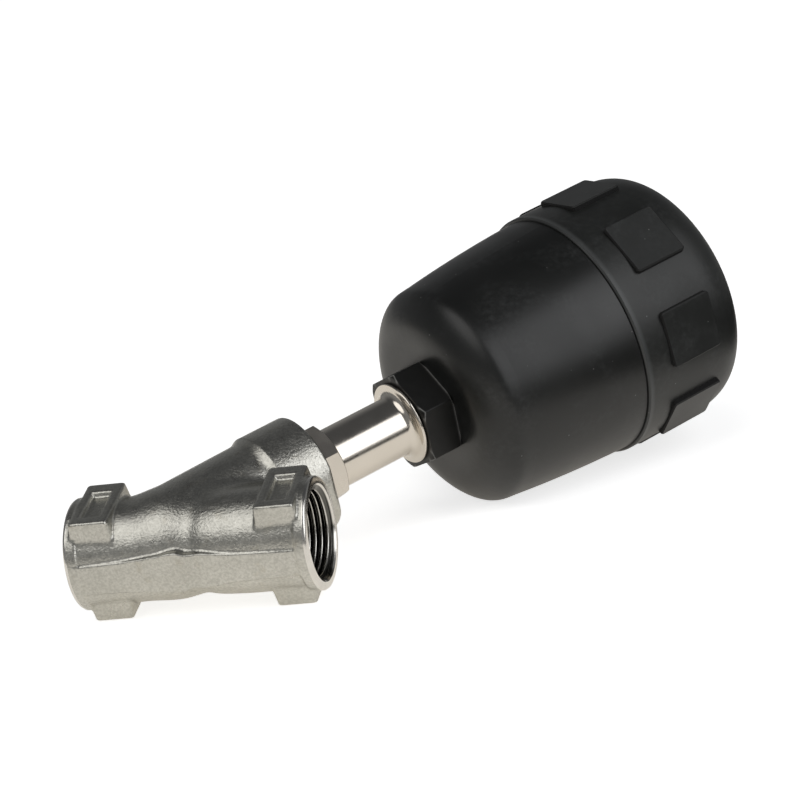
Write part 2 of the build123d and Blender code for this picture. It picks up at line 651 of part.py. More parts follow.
def cover():
    """Screwed cover: domed shell, spring seats, indicator tube and vent port."""
    shape = cover_shell()
    for i in range(PAD_COUNT):
        shape += around_stem(PAD_TURN + i * 360 / PAD_COUNT) * grip_pad()
    inside = turned(
        (HOUSING_THREAD_R + RUNNING_GAP, SEAM_U - 1),
        (HOUSING_THREAD_R + RUNNING_GAP, HOUSING_TOP_U + 0.5),
        (COVER_R - 4.6, HOUSING_TOP_U + 1.5),
        (COVER_R - 4.6, 222.0),
        (41.5, 230.5),
        (34.0, COVER_ROOF_U),
        (INDICATOR_TUBE_R, COVER_ROOF_U),
        (INDICATOR_TUBE_R, INDICATOR_TUBE_U),
        (0, INDICATOR_TUBE_U),
        (0, SEAM_U - 1),
    )
    port_2 = (PORT_2_U, PORT_2_TURN)
    boss = air_port(PILOT_BOSS_R, COVER_R - 11.0, COVER_R - 2.0, *port_2)
    shape = shape - inside + boss
    shape += ring(24.4, 27.3, 232.5, COVER_ROOF_U + 0.5)
    shape += turned(
        (0, COVER_TOP_U - 1),
        (CAP_THREAD_R, COVER_TOP_U - 1),
        (CAP_THREAD_R, COVER_TOP_U + 3.0),
        (0, COVER_TOP_U + 3.0),
    )
    shape -= turned(
        (0, INDICATOR_TUBE_U - 1),
        (ROD_R + RUNNING_GAP, INDICATOR_TUBE_U - 1),
        (ROD_R + RUNNING_GAP, INDICATOR_SEAL_U - 1.0),
        (ROD_R + 1.8, INDICATOR_SEAL_U - 1.0),
        (ROD_R + 1.8, INDICATOR_SEAL_U + 1.0),
        (ROD_R + RUNNING_GAP, INDICATOR_SEAL_U + 1.0),
        (ROD_R + RUNNING_GAP, INDICATOR_HEAD_U - 0.6),
        (HEAD_ROD_R + 0.5, INDICATOR_HEAD_U - 0.6),
        (HEAD_ROD_R + 0.5, COVER_TOP_U + 4),
        (0, COVER_TOP_U + 4),
    )
    insert_in = PAD_FLAT_R - PILOT_INSERT_DEPTH
    shape -= air_port(PILOT_INSERT_R, insert_in, PAD_FLAT_R + 1, *port_2)
    return shape - air_port(PILOT_BORE_R, COVER_R - 12, insert_in + 1, *port_2)


def indicator():
    """Position indicator: a bright rod pushed on the spindle, with a broad head."""
    return turned(
        (0, SPINDLE_TOP_U + 0.05),
        (SHANK_R + 0.02, SPINDLE_TOP_U + 0.05),
        (SHANK_R + 0.02, NUT_TOP_U + 0.4),
        (6.4, NUT_TOP_U + 0.4),
        (6.4, SPINDLE_TOP_U + 1.0),
        (ROD_R, SPINDLE_TOP_U + 4.0),
        (ROD_R, INDICATOR_HEAD_U),
        (HEAD_ROD_R, INDICATOR_HEAD_U),
        (HEAD_ROD_R, INDICATOR_TOP_U - 0.8),
        (HEAD_ROD_R - 0.8, INDICATOR_TOP_U),
        (0, INDICATOR_TOP_U),
    )


def indicator_cap():
    """Clear screwed cap over the indicator."""
    top = INDICATOR_TOP_U + LIFT + 2.6
    return turned(
        (CAP_THREAD_R + 1.9, COVER_TOP_U),
        (CAP_R, COVER_TOP_U),
        (CAP_R, top - 3.0),
        (CAP_R - 3.0, top),
        (0, top),
        (0, top - 1.8),
        (CAP_THREAD_R - 1.8, top - 1.8),
        (CAP_THREAD_R - 1.2, COVER_TOP_U + 3.2),
        (CAP_THREAD_R + RUNNING_GAP, COVER_TOP_U + 3.2),
        (CAP_THREAD_R + RUNNING_GAP, COVER_TOP_U + 1.7),
        (CAP_THREAD_R + 1.9, COVER_TOP_U + 1.7),
    )


def actuator_parts():
    seal_mean = (SPINDLE_R + ROD_SEAL_R) / 2
    return {
        "foot_bush": foot_bush(),
        "foot_o_ring": o_ring(SPIGOT_R - 0.8, 0.78, O_RING_U),
        "housing_o_ring": o_ring(FOOT_SHOULDER_R - 2.1, 0.82, HOUSING_BOTTOM_U + 0.84),
        "rod_seal": turned(
            (SPINDLE_R + 0.03, ROD_SEAL_LOW_U),
            (ROD_SEAL_R - 0.03, ROD_SEAL_LOW_U),
            (ROD_SEAL_R - 0.03, LOCK_NUT_TOP_U - 1.8),
            (seal_mean + 0.7, LOCK_NUT_TOP_U - 1.8),
            (seal_mean, ROD_SEAL_LOW_U + 2.0),
            (seal_mean - 0.7, LOCK_NUT_TOP_U - 1.8),
            (SPINDLE_R + 0.03, LOCK_NUT_TOP_U - 1.8),
        ),
        "lock_nut": lock_nut(),
        "housing": housing(),
        "cover": cover(),
        "cover_o_ring": o_ring(HOUSING_THREAD_R - 0.83, 0.83, COVER_O_RING_U),
        "pilot_insert": port_insert(PILOT_FACE_R, PORT_1_U, PORT_1_TURN),
        "vent_insert": port_insert(PAD_FLAT_R, PORT_2_U, PORT_2_TURN),
        "vent_filter": air_port(
            FILTER_R - RUNNING_GAP,
            PAD_FLAT_R - PILOT_INSERT_DEPTH + FILTER_SEAT,
            PAD_FLAT_R - PILOT_INSERT_DEPTH + FILTER_TOP - RUNNING_GAP,
            PORT_2_U,
            PORT_2_TURN,
        ),
        "outer_spring": coil(
            OUTER_SPRING_R, OUTER_WIRE_R, PISTON_FLOOR_U, COVER_ROOF_U, OUTER_COILS
        ),
        "inner_spring": coil(
            INNER_SPRING_R, INNER_WIRE_R, INNER_SPRING_U, COVER_ROOF_U, INNER_COILS
        ),
        "indicator_cap": indicator_cap(),
        "cap_o_ring": o_ring(CAP_THREAD_R + 1.0, 0.78, COVER_TOP_U + 0.82),
        "indicator_seal": o_ring(ROD_R + 0.93, 0.85, INDICATOR_SEAL_U),
    }


# Placing and writing

os.makedirs("parts", exist_ok=True)
stem_parts = {
    "body_gasket": body_gasket(),
    "nipple": nipple(),
    **stem_packing(),
    **disc_parts(),
    "spindle": spindle(),
    **piston_parts(),
    **actuator_parts(),
    "indicator": indicator(),
}
nodes = {"valve_body": valve_body(), **{name: STEM * shape for name, shape in stem_parts.items()}}
for name, shape in nodes.items():
    export_step(REST * shape, f"parts/{name}.step")
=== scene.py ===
import json
import math

import bpy
import numpy as np
from mathutils import Matrix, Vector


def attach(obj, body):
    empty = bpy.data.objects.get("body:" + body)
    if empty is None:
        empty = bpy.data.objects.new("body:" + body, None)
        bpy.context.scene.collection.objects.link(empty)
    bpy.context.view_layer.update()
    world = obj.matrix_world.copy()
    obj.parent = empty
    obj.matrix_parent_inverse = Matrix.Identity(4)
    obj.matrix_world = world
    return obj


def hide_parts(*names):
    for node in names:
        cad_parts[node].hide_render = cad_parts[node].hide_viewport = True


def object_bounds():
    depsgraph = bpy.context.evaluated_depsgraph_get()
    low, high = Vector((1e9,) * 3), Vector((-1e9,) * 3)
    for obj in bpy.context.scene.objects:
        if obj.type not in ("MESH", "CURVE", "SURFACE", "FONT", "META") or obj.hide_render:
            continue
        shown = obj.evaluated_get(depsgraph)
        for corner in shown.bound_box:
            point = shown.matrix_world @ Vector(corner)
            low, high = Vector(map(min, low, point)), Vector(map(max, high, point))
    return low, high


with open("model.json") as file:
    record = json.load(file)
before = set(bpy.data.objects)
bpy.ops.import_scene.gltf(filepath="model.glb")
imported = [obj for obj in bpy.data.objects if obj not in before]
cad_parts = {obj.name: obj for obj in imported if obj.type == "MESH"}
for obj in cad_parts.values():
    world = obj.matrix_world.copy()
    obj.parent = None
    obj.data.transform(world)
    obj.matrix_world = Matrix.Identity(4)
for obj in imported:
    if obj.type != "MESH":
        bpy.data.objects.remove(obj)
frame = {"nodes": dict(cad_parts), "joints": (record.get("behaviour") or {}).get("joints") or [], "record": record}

cad_low, cad_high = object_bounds()
print("CAD box, metres:", [round(v, 4) for v in cad_low], [round(v, 4) for v in cad_high])

# %% [markdown]
# An angle seat valve, lying on its side. A cast stainless Y body carries a slanting neck, and a turned
# nipple joins the neck to a round black actuator with a piston inside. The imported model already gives
# every working piece in its place. This file gives the pieces their finishes, and makes anew those whose
# shape a plain solid only sketches: the casting with its soft corners, the nipple and the black foot with
# their coned hexagons, and the threads of the ports.
# Lengths inside the shape functions are millimetres, because a fitter thinks in them, and they are turned
# into metres once, where a mesh is made.

# %% The two working frames
MM = 0.001
HALF_LENGTH = 45.0    # from the middle of the body to the face of either port, mm
turn = next(j for j in frame["joints"] if j["name"] == "actuator_turn")
stem_axis = np.array(turn["axis"]) / np.linalg.norm(turn["axis"])
pivot = np.array(turn["pos_m"]) / MM
stem_foot = pivot - stem_axis * (pivot[1] / stem_axis[1])
square = np.cross([1.0, 0.0, 0.0], stem_axis)
square /= np.linalg.norm(square)
to_outlet = np.cross(stem_axis, square)
plane_y = np.cross(square, [1.0, 0.0, 0.0])
print("stem starts on the flow axis at x =", round(float(stem_foot[0]), 2), "mm")
print("towards the outlet:", to_outlet.round(4), " square to both:", square.round(4))


def from_body(points):
    """Body frame (X along the flow from mid-body, Y in the stem's plane, Z square to it) to row, in mm."""
    basis = np.array([[1.0, 0.0, 0.0], plane_y, square])
    return points @ basis + np.array([HALF_LENGTH, 0.0, 0.0])


def from_stem(radius, angle, height):
    """A point at a radius and an angle (from the outlet side) round the stem, at a height up it, in mm."""
    around = np.cos(angle)[..., None] * to_outlet + np.sin(angle)[..., None] * square
    return stem_foot + radius[..., None] * around + height[..., None] * stem_axis


# %% [markdown]
# A mesh is only two lists: points, and faces that name points. Numpy works out both lists as whole arrays,
# which is fast and keeps each shape a formula that can be read. One helper below joins a grid of points
# into four-sided faces; a second puts the arrays into a Blender mesh.

# %% Grids and meshes
def grid_faces(rows, columns, close_rows=False):
    """Faces of a grid whose columns run round and close; the rows close too when close_rows is set."""
    r = np.arange(rows if close_rows else rows - 1)[:, None]
    c = np.arange(columns)[None, :]
    r2, c2 = (r + 1) % rows, (c + 1) % columns
    faces = np.stack([r * columns + c, r * columns + c2, r2 * columns + c2, r2 * columns + c], axis=-1)
    return faces.reshape(-1, 4)


def make_piece(name, points, faces, material, body, sharp_angle=None):
    """Mesh object from points in mm and quad faces; smooth shaded, with a crease where it turns sharply."""
    mesh = bpy.data.meshes.new(name)
    mesh.from_pydata((points.reshape(-1, 3) * MM).tolist(), [], faces.tolist())
    mesh.materials.append(material)
    mesh.polygons.foreach_set("use_smooth", np.ones(len(mesh.polygons), dtype=bool))
    if sharp_angle:
        mesh.set_sharp_from_angle(angle=math.radians(sharp_angle))
    piece = bpy.data.objects.new(name, mesh)
    bpy.context.scene.collection.objects.link(piece)
    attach(piece, body)
    print(name, "points", len(mesh.vertices), "faces", len(mesh.polygons))
    return piece


print("a grid of 3 rows and 4 columns has", len(grid_faces(3, 4)), "faces")

# %% [markdown]
# The camera stands in front of the valve, a little to the right and a little above it, with a long lens, so
# the parts hardly shrink with distance. It is also rolled by ten degrees, which is why the body seems to
# tip to the left in the view.

# %% Camera
VIEW_AZIMUTH, VIEW_HEIGHT, VIEW_ROLL = 15.024, 14.942, 9.836
VIEW_DISTANCE, VIEW_LENS = 0.93, 119.09
view_aim = np.array([0.12108, 0.01899, 0.0399])


def camera_axes(azimuth, height, roll):
    """Right, up and back of a camera: back leans out at the two angles, up leans right by the roll."""
    a, h, t = (math.radians(v) for v in (azimuth, height, roll))
    back = np.array([math.sin(a) * math.cos(h), -math.cos(a) * math.cos(h), math.sin(h)])
    level = np.cross([0.0, 0.0, 1.0], back)
    level /= np.linalg.norm(level)
    above = np.cross(back, level)
    return math.cos(t) * level - math.sin(t) * above, math.cos(t) * above + math.sin(t) * level, back


def place(obj, right, up, back, where):
    """Put a camera or lamp at a point, with its axes as given; both look along their own -Z."""
    rows = np.column_stack([right, up, back, where])
    obj.matrix_world = Matrix([*rows.tolist(), [0, 0, 0, 1]])


right, up, back = camera_axes(VIEW_AZIMUTH, VIEW_HEIGHT, VIEW_ROLL)
camera = bpy.data.objects.new("camera", bpy.data.cameras.new("camera"))
bpy.context.scene.collection.objects.link(camera)
bpy.context.scene.camera = camera
camera.data.lens = VIEW_LENS
camera.data.sensor_width = 36.0
camera.data.clip_start, camera.data.clip_end = 0.05, 50.0
place(camera, right, up, back, view_aim + VIEW_DISTANCE * back)
print("camera at", [round(v, 3) for v in camera.matrix_world.translation])

# %% [markdown]
# Polished steel has no colour of its own: it shows the studio. So the studio is built like a real one. A
# pale table lies under the valve. The key light comes from high in front on the left. It is a sun lamp with
# a wide disc, so it is as soft as a large softbox and equally strong everywhere. A real softbox stands low on
# the right and draws the white band along the tube.

# %% Studio
scene = bpy.context.scene
scene.view_settings.view_transform = "Standard"
centre = np.array([0.11, 0.06, 0.02])
floor_z = cad_low[2]


def softbox(name, azimuth, height, distance, wide, tall, radiance, colour):
    """Rectangular lamp facing the valve; its power is radiance x pi x area, so size doesn't change how
    bright its mirror image is."""
    across, above, towards = camera_axes(azimuth, height, 0.0)
    lamp = bpy.data.lights.new(name, "AREA")
    lamp.shape = "RECTANGLE"
    lamp.size, lamp.size_y = wide, tall
    lamp.energy = radiance * math.pi * wide * tall
    lamp.color = colour
    obj = bpy.data.objects.new(name, lamp)
    scene.collection.objects.link(obj)
    place(obj, across, above, towards, centre + distance * towards)
    print(name, round(lamp.energy, 2), "W")


KEY_AZIMUTH, KEY_HEIGHT, KEY_STRENGTH, KEY_SPREAD = -27.0, 56.0, 0.85, 52.0
key = bpy.data.lights.new("key_light", "SUN")
key.energy, key.angle, key.color = KEY_STRENGTH, math.radians(KEY_SPREAD), (1.0, 0.99, 0.97)
key_object = bpy.data.objects.new("key_light", key)
scene.collection.objects.link(key_object)
place(key_object, *camera_axes(KEY_AZIMUTH, KEY_HEIGHT, 0.0), centre)
softbox("side_softbox", azimuth=70.0, height=29.5, distance=1.3, wide=0.85, tall=1.22, radiance=1.9,
        colour=(0.98, 0.985, 1.0))

# %% [markdown]
# The room. Whatever looks past the lamps sees the room's own walls, and polished steel shows them. A real
# studio is dim and darker still under its ceiling. One ramp over the height of a direction gives that.

# %% Room
world = bpy.data.worlds.new("studio_room")
scene.world = world
world.use_nodes = True
room = world.node_tree
room.nodes.clear()
way = room.nodes.new("ShaderNodeTexCoord")
split = room.nodes.new("ShaderNodeSeparateXYZ")
rise = room.nodes.new("ShaderNodeValToRGB")
glow = room.nodes.new("ShaderNodeBackground")
room_out = room.nodes.new("ShaderNodeOutputWorld")
room.links.new(way.outputs["Generated"], split.inputs[0])
room.links.new(split.outputs["Z"], rise.inputs[0])
room.links.new(rise.outputs["Color"], glow.inputs["Color"])
room.links.new(glow.outputs["Background"], room_out.inputs["Surface"])
ROOM = [(0.0, (0.205, 0.208, 0.21, 1.0)), (0.35, (0.235, 0.238, 0.24, 1.0)), (0.8, (0.07, 0.072, 0.076, 1.0))]
rise.color_ramp.elements.new(ROOM[2][0])
for step, (where, grey) in zip(rise.color_ramp.elements, ROOM):
    step.position, step.color = where, grey
print("room greys from the horizon up:", [grey[0] for _, grey in ROOM])


def flat_sheet(name, left, right, front, back, level, material):
    """One rectangle lying at a level."""
    corners = [(left, front, level), (right, front, level), (right, back, level), (left, back, level)]
    mesh = bpy.data.meshes.new(name)
    mesh.from_pydata(corners, [], [(0, 1, 2, 3)])
    mesh.materials.append(material)
    sheet = bpy.data.objects.new(name, mesh)
    scene.collection.objects.link(sheet)
    return sheet


# %% [markdown]
# The table is white paper. Lit by the lamps alone it comes out light grey, as in any studio, so a share of
# its white is given as glow, and only to what the camera sees directly, in a mirror or through glass. The
# lamps' share still falls away under the valve, and that is its shadow.

# %% Table
TABLE_GLOW = 0.72
table = bpy.data.materials.new("white_table")
table.use_nodes = True
nt = table.node_tree
nt.nodes.clear()
paper = nt.nodes.new("ShaderNodeBsdfDiffuse")
paper.inputs["Color"].default_value = (0.9, 0.9, 0.9, 1.0)
lit = nt.nodes.new("ShaderNodeEmission")
both = nt.nodes.new("ShaderNodeAddShader")
seen = nt.nodes.new("ShaderNodeLightPath")
tint = nt.nodes.new("ShaderNodeMix")
tint.data_type = "RGBA"
tint.inputs[6].default_value = (1.0, 1.0, 1.0, 1.0)
# painted reflection: in mirrors the table's glow is warm and dimmer than the white the camera sees
tint.inputs[7].default_value = (0.66, 0.62, 0.55, 1.0)
some = nt.nodes.new("ShaderNodeMath")
some.operation = "MAXIMUM"
every = nt.nodes.new("ShaderNodeMath")
every.operation = "MAXIMUM"
strength = nt.nodes.new("ShaderNodeMath")
strength.operation = "MULTIPLY"
strength.inputs[1].default_value = TABLE_GLOW
out = nt.nodes.new("ShaderNodeOutputMaterial")
nt.links.new(seen.outputs["Is Glossy Ray"], tint.inputs[0])
nt.links.new(tint.outputs[2], lit.inputs["Color"])
nt.links.new(seen.outputs["Is Camera Ray"], some.inputs[0])
nt.links.new(seen.outputs["Is Glossy Ray"], some.inputs[1])
nt.links.new(some.outputs[0], every.inputs[0])
nt.links.new(seen.outputs["Is Transmission Ray"], every.inputs[1])
nt.links.new(every.outputs[0], strength.inputs[0])
nt.links.new(strength.outputs[0], lit.inputs["Strength"])
nt.links.new(paper.outputs[0], both.inputs[0])
nt.links.new(lit.outputs[0], both.inputs[1])
nt.links.new(both.outputs[0], out.inputs["Surface"])
TABLE_REACH = 6.0
flat_sheet("table", -TABLE_REACH, TABLE_REACH, -TABLE_REACH, TABLE_REACH, floor_z, table)
print("table at z =", round(floor_z, 4), "m")

# %% [markdown]
# A tube that mirrors only white things looks flat. Photographers lay black card beside it, and the card's
# mirror image draws a dark line between the softbox's white band and the pale table. Here the card lies on
# the table to the right. It is seen in mirrors alone: the camera, the shadows and the table's light pass it.

# %% Dark card
dark_paper = bpy.data.materials.new("dark_card")
dark_paper.use_nodes = True
velvet = dark_paper.node_tree.nodes["Principled BSDF"]
velvet.inputs["Base Color"].default_value = (0.02, 0.02, 0.02, 1.0)
velvet.inputs["Roughness"].default_value = 1.0
velvet.inputs["Specular IOR Level"].default_value = 0.0
CARD_GAP = 0.002    # above the table, so that the two sheets don't share a plane
card = flat_sheet("dark_card", left=0.27, right=1.5, front=-1.1, back=1.0, level=floor_z + CARD_GAP,
                  material=dark_paper)
card.visible_camera = card.visible_diffuse = card.visible_shadow = False
print("card reaches from x = 0.27 to 1.5 m")

# %% [markdown]
# Every finish starts from the same few moves: a noise at some size, a remap of that noise to the numbers
# wanted, and a bump made from a height. The class below keeps one material's nodes and makes those moves
# one line each. Sizes are given in millimetres, the size of one grain or one patch.

# %% A small kit for finishes
class Finish:
    """One material: a Principled shader plus the noises, masks and bumps that drive it."""

    def __init__(self, name, **constants):
        self.material = bpy.data.materials.new(name)
        self.material.use_nodes = True
        self.tree = self.material.node_tree
        self.shader = self.tree.nodes["Principled BSDF"]
        self.place = self.new("ShaderNodeTexCoord").outputs["Object"]
        for socket, value in constants.items():
            self.shader.inputs[socket.replace("_", " ")].default_value = value

    def new(self, kind, **settings):
        """A node of a kind, with its settings."""
        node = self.tree.nodes.new(kind)
        for key, value in settings.items():
            setattr(node, key, value)
        return node

    def join(self, source, target):
        """A link from one socket to another."""
        self.tree.links.new(source, target)

    def feed(self, node, index, value):
        """Link a socket or set a number, whichever value is."""
        if isinstance(value, bpy.types.NodeSocket):
            self.join(value, node.inputs[index])
        else:
            node.inputs[index].default_value = value

    def maths(self, operation, first, second=0.0):
        """One sum of two values, each a socket or a number."""
        node = self.new("ShaderNodeMath", operation=operation)
        self.feed(node, 0, first)
        self.feed(node, 1, second)
        return node.outputs[0]

    def noise(self, size_mm, detail=2.0, roughness=0.5):
        """Smooth noise whose patches are about size_mm wide; detail adds finer layers."""
        node = self.new("ShaderNodeTexNoise")
        node.inputs["Scale"].default_value = 1.0 / (size_mm * MM)
        node.inputs["Detail"].default_value = detail
        node.inputs["Roughness"].default_value = roughness
        self.join(self.place, node.inputs["Vector"])
        return node.outputs["Fac"]

    def cells(self, size_mm):
        """Distance to the nearest of many scattered points, about size_mm apart."""
        node = self.new("ShaderNodeTexVoronoi")
        node.inputs["Scale"].default_value = 1.0 / (size_mm * MM)
        self.join(self.place, node.inputs["Vector"])
        return node.outputs["Distance"]

    def remap(self, value, low, high, to_low=0.0, to_high=1.0):
        """Straight line from low..high to to_low..to_high, held at its ends."""
        node = self.new("ShaderNodeMapRange")
        self.join(value, node.inputs["Value"])
        ends = {"From Min": low, "From Max": high, "To Min": to_low, "To Max": to_high}
        for socket, number in ends.items():
            node.inputs[socket].default_value = number
        return node.outputs["Result"]

    def colours(self, mask, first, second):
        """first where the mask is 0, second where it is 1; each a socket or a colour."""
        node = self.new("ShaderNodeMix", data_type="RGBA")
        self.feed(node, 0, mask)
        for index, colour in ((6, first), (7, second)):
            if isinstance(colour, bpy.types.NodeSocket):
                self.join(colour, node.inputs[index])
            else:
                node.inputs[index].default_value = (*colour, 1.0)
        return node.outputs[2]

    def bump(self, height, depth_mm, strength=1.0, below=None):
        """Normals tilted as a relief of depth_mm would tilt them, on top of the bump below."""
        node = self.new("ShaderNodeBump")
        node.inputs["Distance"].default_value = depth_mm * MM
        node.inputs["Strength"].default_value = strength
        self.join(height, node.inputs["Height"])
        if below is not None:
            self.join(below, node.inputs["Normal"])
        return node.outputs["Normal"]

    def along_stem(self):
        """Height up the stem in mm: the dot product of a point with the stem's direction."""
        node = self.new("ShaderNodeVectorMath", operation="DOT_PRODUCT")
        self.join(self.place, node.inputs[0])
        node.inputs[1].default_value = stem_axis / MM
        return self.maths("SUBTRACT", node.outputs["Value"], float(stem_foot @ stem_axis))

    def facing_out(self):
        """1 where a face looks straight away from the stem's axis, as a cylinder's wall does, 0 on its end.
        That is the dot product of the normal with the unit vector from the axis to the point."""
        lifted = self.new("ShaderNodeVectorMath", operation="SUBTRACT")
        self.join(self.place, lifted.inputs[0])
        lifted.inputs[1].default_value = stem_foot * MM
        along = self.new("ShaderNodeVectorMath", operation="DOT_PRODUCT")
        self.join(lifted.outputs["Vector"], along.inputs[0])
        along.inputs[1].default_value = stem_axis
        foot = self.new("ShaderNodeVectorMath", operation="SCALE")
        foot.inputs[0].default_value = stem_axis
        self.join(along.outputs["Value"], foot.inputs["Scale"])
        away = self.new("ShaderNodeVectorMath", operation="SUBTRACT")
        self.join(lifted.outputs["Vector"], away.inputs[0])
        self.join(foot.outputs["Vector"], away.inputs[1])
        unit = self.new("ShaderNodeVectorMath", operation="NORMALIZE")
        self.join(away.outputs["Vector"], unit.inputs[0])
        side = self.new("ShaderNodeVectorMath", operation="DOT_PRODUCT")
        self.join(unit.outputs["Vector"], side.inputs[0])
        self.join(self.new("ShaderNodeNewGeometry").outputs["Normal"], side.inputs[1])
        return side.outputs["Value"]

    def paint(self, colour, roughness, normal):
        """Joins the three sockets to the shader and gives the finished material."""
        for socket, value in (("Base Color", colour), ("Roughness", roughness), ("Normal", normal)):
            self.join(value, self.shader.inputs[socket])
        return self.material


# %% [markdown]
# Cast stainless. The body is an investment casting, blasted with glass beads after the shell is broken off.
# The beads leave a field of tiny dimples, each a small mirror, so the metal looks dull and yet glitters.
# One fine noise, a little under a millimetre, does two jobs: it is the relief of the dimples, and it paints
# shade into their floors. Under it lies a slow swell of the surface, and slower noises move the tone, as pickling
# does.

# %% Cast stainless
cast = Finish("cast_stainless_blasted", Metallic=1.0)
patches = cast.remap(cast.noise(14.0, 3.0), 0.3, 0.7)
stains = cast.remap(cast.noise(5.0, 4.0), 0.6, 0.8)
tone = cast.colours(patches, (0.52, 0.51, 0.465), (0.58, 0.57, 0.525))
tone = cast.colours(stains, tone, (0.47, 0.445, 0.38))
dimples_and_shade = cast.noise(0.9, 2.0, roughness=0.6)
# painted shade: where the dimples' relief is low, their floors get a darker tone
tone = cast.colours(cast.remap(dimples_and_shade, 0.36, 0.64, 0.45, 0.0), tone, (0.30, 0.295, 0.265))
rough = cast.remap(cast.noise(3.0, 3.0), 0.3, 0.7, 0.27, 0.35)
grain = cast.bump(cast.noise(4.0, 2.0), 0.04, 0.8)
grain = cast.bump(dimples_and_shade, 0.15, 1.0, below=grain)
cast_steel = cast.paint(tone, rough, grain)
print(cast_steel.name, len(cast.tree.nodes), "nodes")

# %% [markdown]
# Turned stainless. The nipple is cut on a lathe, and its tube is polished afterwards. The tool leaves rings
# too fine to see one by one; they only smear a reflection round the axis. The hexagon keeps the duller
# skin of the bar, so roughness depends on the height up the stem.

# %% Turned stainless
turned = Finish("turned_stainless_polished", Metallic=1.0)
height_mm = turned.along_stem()
rings = turned.new("ShaderNodeTexNoise", noise_dimensions="1D")
rings.inputs["Scale"].default_value = 6.0
rings.inputs["Detail"].default_value = 3.0
turned.join(height_mm, rings.inputs["W"])
haze = turned.noise(9.0, 3.0)
skin = turned.noise(0.5, 2.0)
on_tube = turned.remap(height_mm, 71.0, 72.0)
shine = turned.remap(haze, 0.3, 0.7, 0.15, 0.21)
dull = turned.remap(haze, 0.3, 0.7, 0.27, 0.36)
mixed = turned.new("ShaderNodeMix", data_type="FLOAT")
turned.join(on_tube, mixed.inputs[0])
turned.join(dull, mixed.inputs[2])
turned.join(shine, mixed.inputs[3])
tone = turned.colours(haze, (0.64, 0.595, 0.53), (0.70, 0.655, 0.59))
fine = turned.bump(rings.outputs["Fac"], 0.004, 0.6)
fine = turned.bump(skin, 0.006, 0.5, below=fine)
turned_steel = turned.paint(tone, mixed.outputs[0], fine)
print(turned_steel.name, len(turned.tree.nodes), "nodes")

# %% [markdown]
# Black moulded plastic. The housing and the cover are glass-filled nylon, spark-eroded in the mould to a
# satin skin. It is nearly black, and nearly all that the eye gets from it is gloss: so the roughness does
# the work, with faint clouds in it, a few specks of dust, and pale rubbed places. The cover is a shade lighter
# than the housing. The steep walls of its grip pads are rougher, and painted shade darkens them; a pale band
# painted along its leading edge stands for a highlight.

# %% Black plastic
PAD_FOOT, PAD_TOP, COVER_EDGE = 188.0, 220.5, 186.0    # heights up the stem, mm
SCUFF_SHARE, DUST_SHARE = 0.3, 0.3                     # how much of the pale tone a mark takes


def moulded(name, satin, lift=1.0, walls=False):
    """Black plastic of a mean roughness. lift multiplies its tone; walls adds the cover's rougher pad walls with
    painted shade on them, and a painted highlight along its rim.
    """
    shell = Finish(name, IOR=1.5)
    clouds = shell.noise(22.0, 3.0)
    skin = shell.noise(0.35, 1.0)
    rubbed = shell.maths("MULTIPLY", shell.remap(shell.noise(16.0, 2.0), 0.45, 0.7),
                         shell.remap(shell.noise(2.2, 5.0, roughness=0.65), 0.42, 0.75))
    dust = shell.remap(shell.cells(6.5), 0.05, 0.03)
    pale = shell.maths("MULTIPLY", rubbed, SCUFF_SHARE)
    tone = shell.colours(clouds, (0.0055 * lift, 0.006 * lift, 0.0055 * lift),
                         (0.0075 * lift, 0.008 * lift, 0.0075 * lift))
    tone = shell.colours(pale, tone, (0.075, 0.078, 0.078))
    tone = shell.colours(shell.maths("MULTIPLY", dust, DUST_SHARE), tone, (0.35, 0.35, 0.34))
    gloss = shell.remap(clouds, 0.3, 0.7, satin - 0.04, satin + 0.04)
    gloss = shell.maths("ADD", gloss, shell.maths("MULTIPLY", pale, 0.2))
    if walls:
        height = shell.along_stem()
        steep_walls_and_shade = shell.remap(shell.facing_out(), 0.93, 0.72)
        steep_walls_and_shade = shell.maths("MULTIPLY", steep_walls_and_shade, shell.remap(height, PAD_TOP, PAD_TOP - 0.9))
        steep_walls_and_shade = shell.maths("MULTIPLY", steep_walls_and_shade, shell.remap(height, PAD_FOOT, PAD_FOOT + 2.0))
        # painted highlight: a pale band along the cover's leading edge, where its rim catches the light
        from_edge = shell.maths("ABSOLUTE", shell.maths("SUBTRACT", height, COVER_EDGE))
        edge = shell.remap(from_edge, 1.6, 0.3)
        tone = shell.colours(shell.maths("MULTIPLY", edge, 0.4), tone, (0.10, 0.105, 0.105))
        # painted shade: the steep walls of the grip pads get a near-black tone
        tone = shell.colours(steep_walls_and_shade, tone, (0.002, 0.002, 0.002))
        gloss = shell.maths("ADD", gloss, shell.maths("MULTIPLY", steep_walls_and_shade, 0.45))
    return shell.paint(tone, gloss, shell.bump(skin, 0.012, 0.5))


housing_plastic = moulded("black_plastic_housing", satin=0.36)
cover_plastic = moulded("black_plastic_cover", satin=0.42, lift=1.9, walls=True)
print("plastics:", housing_plastic.name, cover_plastic.name)

# %% [markdown]
# The inner pieces. Most are hidden until someone takes the valve apart, or looks through the clear cap or
# into a port. Each still gets the skin of its own stuff: drawn wire, rubber, machined polymer, bearing
# bronze, porous bronze, light alloy. They differ in numbers and not in kind, so one function and a table do.

# %% Finishes of the inner pieces
def plain_finish(name, light, dark, satin, grain_mm, depth_mm, **constants):
    """Two tones in slow patches, a roughness that follows them, and one grain as a bump."""
    kit = Finish(name, **constants)
    patch = kit.remap(kit.noise(8.0, 3.0), 0.3, 0.7)
    tone = kit.colours(patch, dark, light)
    gloss = kit.remap(patch, 0.0, 1.0, satin - 0.05, satin + 0.05)
    return kit.paint(tone, gloss, kit.bump(kit.noise(grain_mm, 2.0), depth_mm, 0.7))


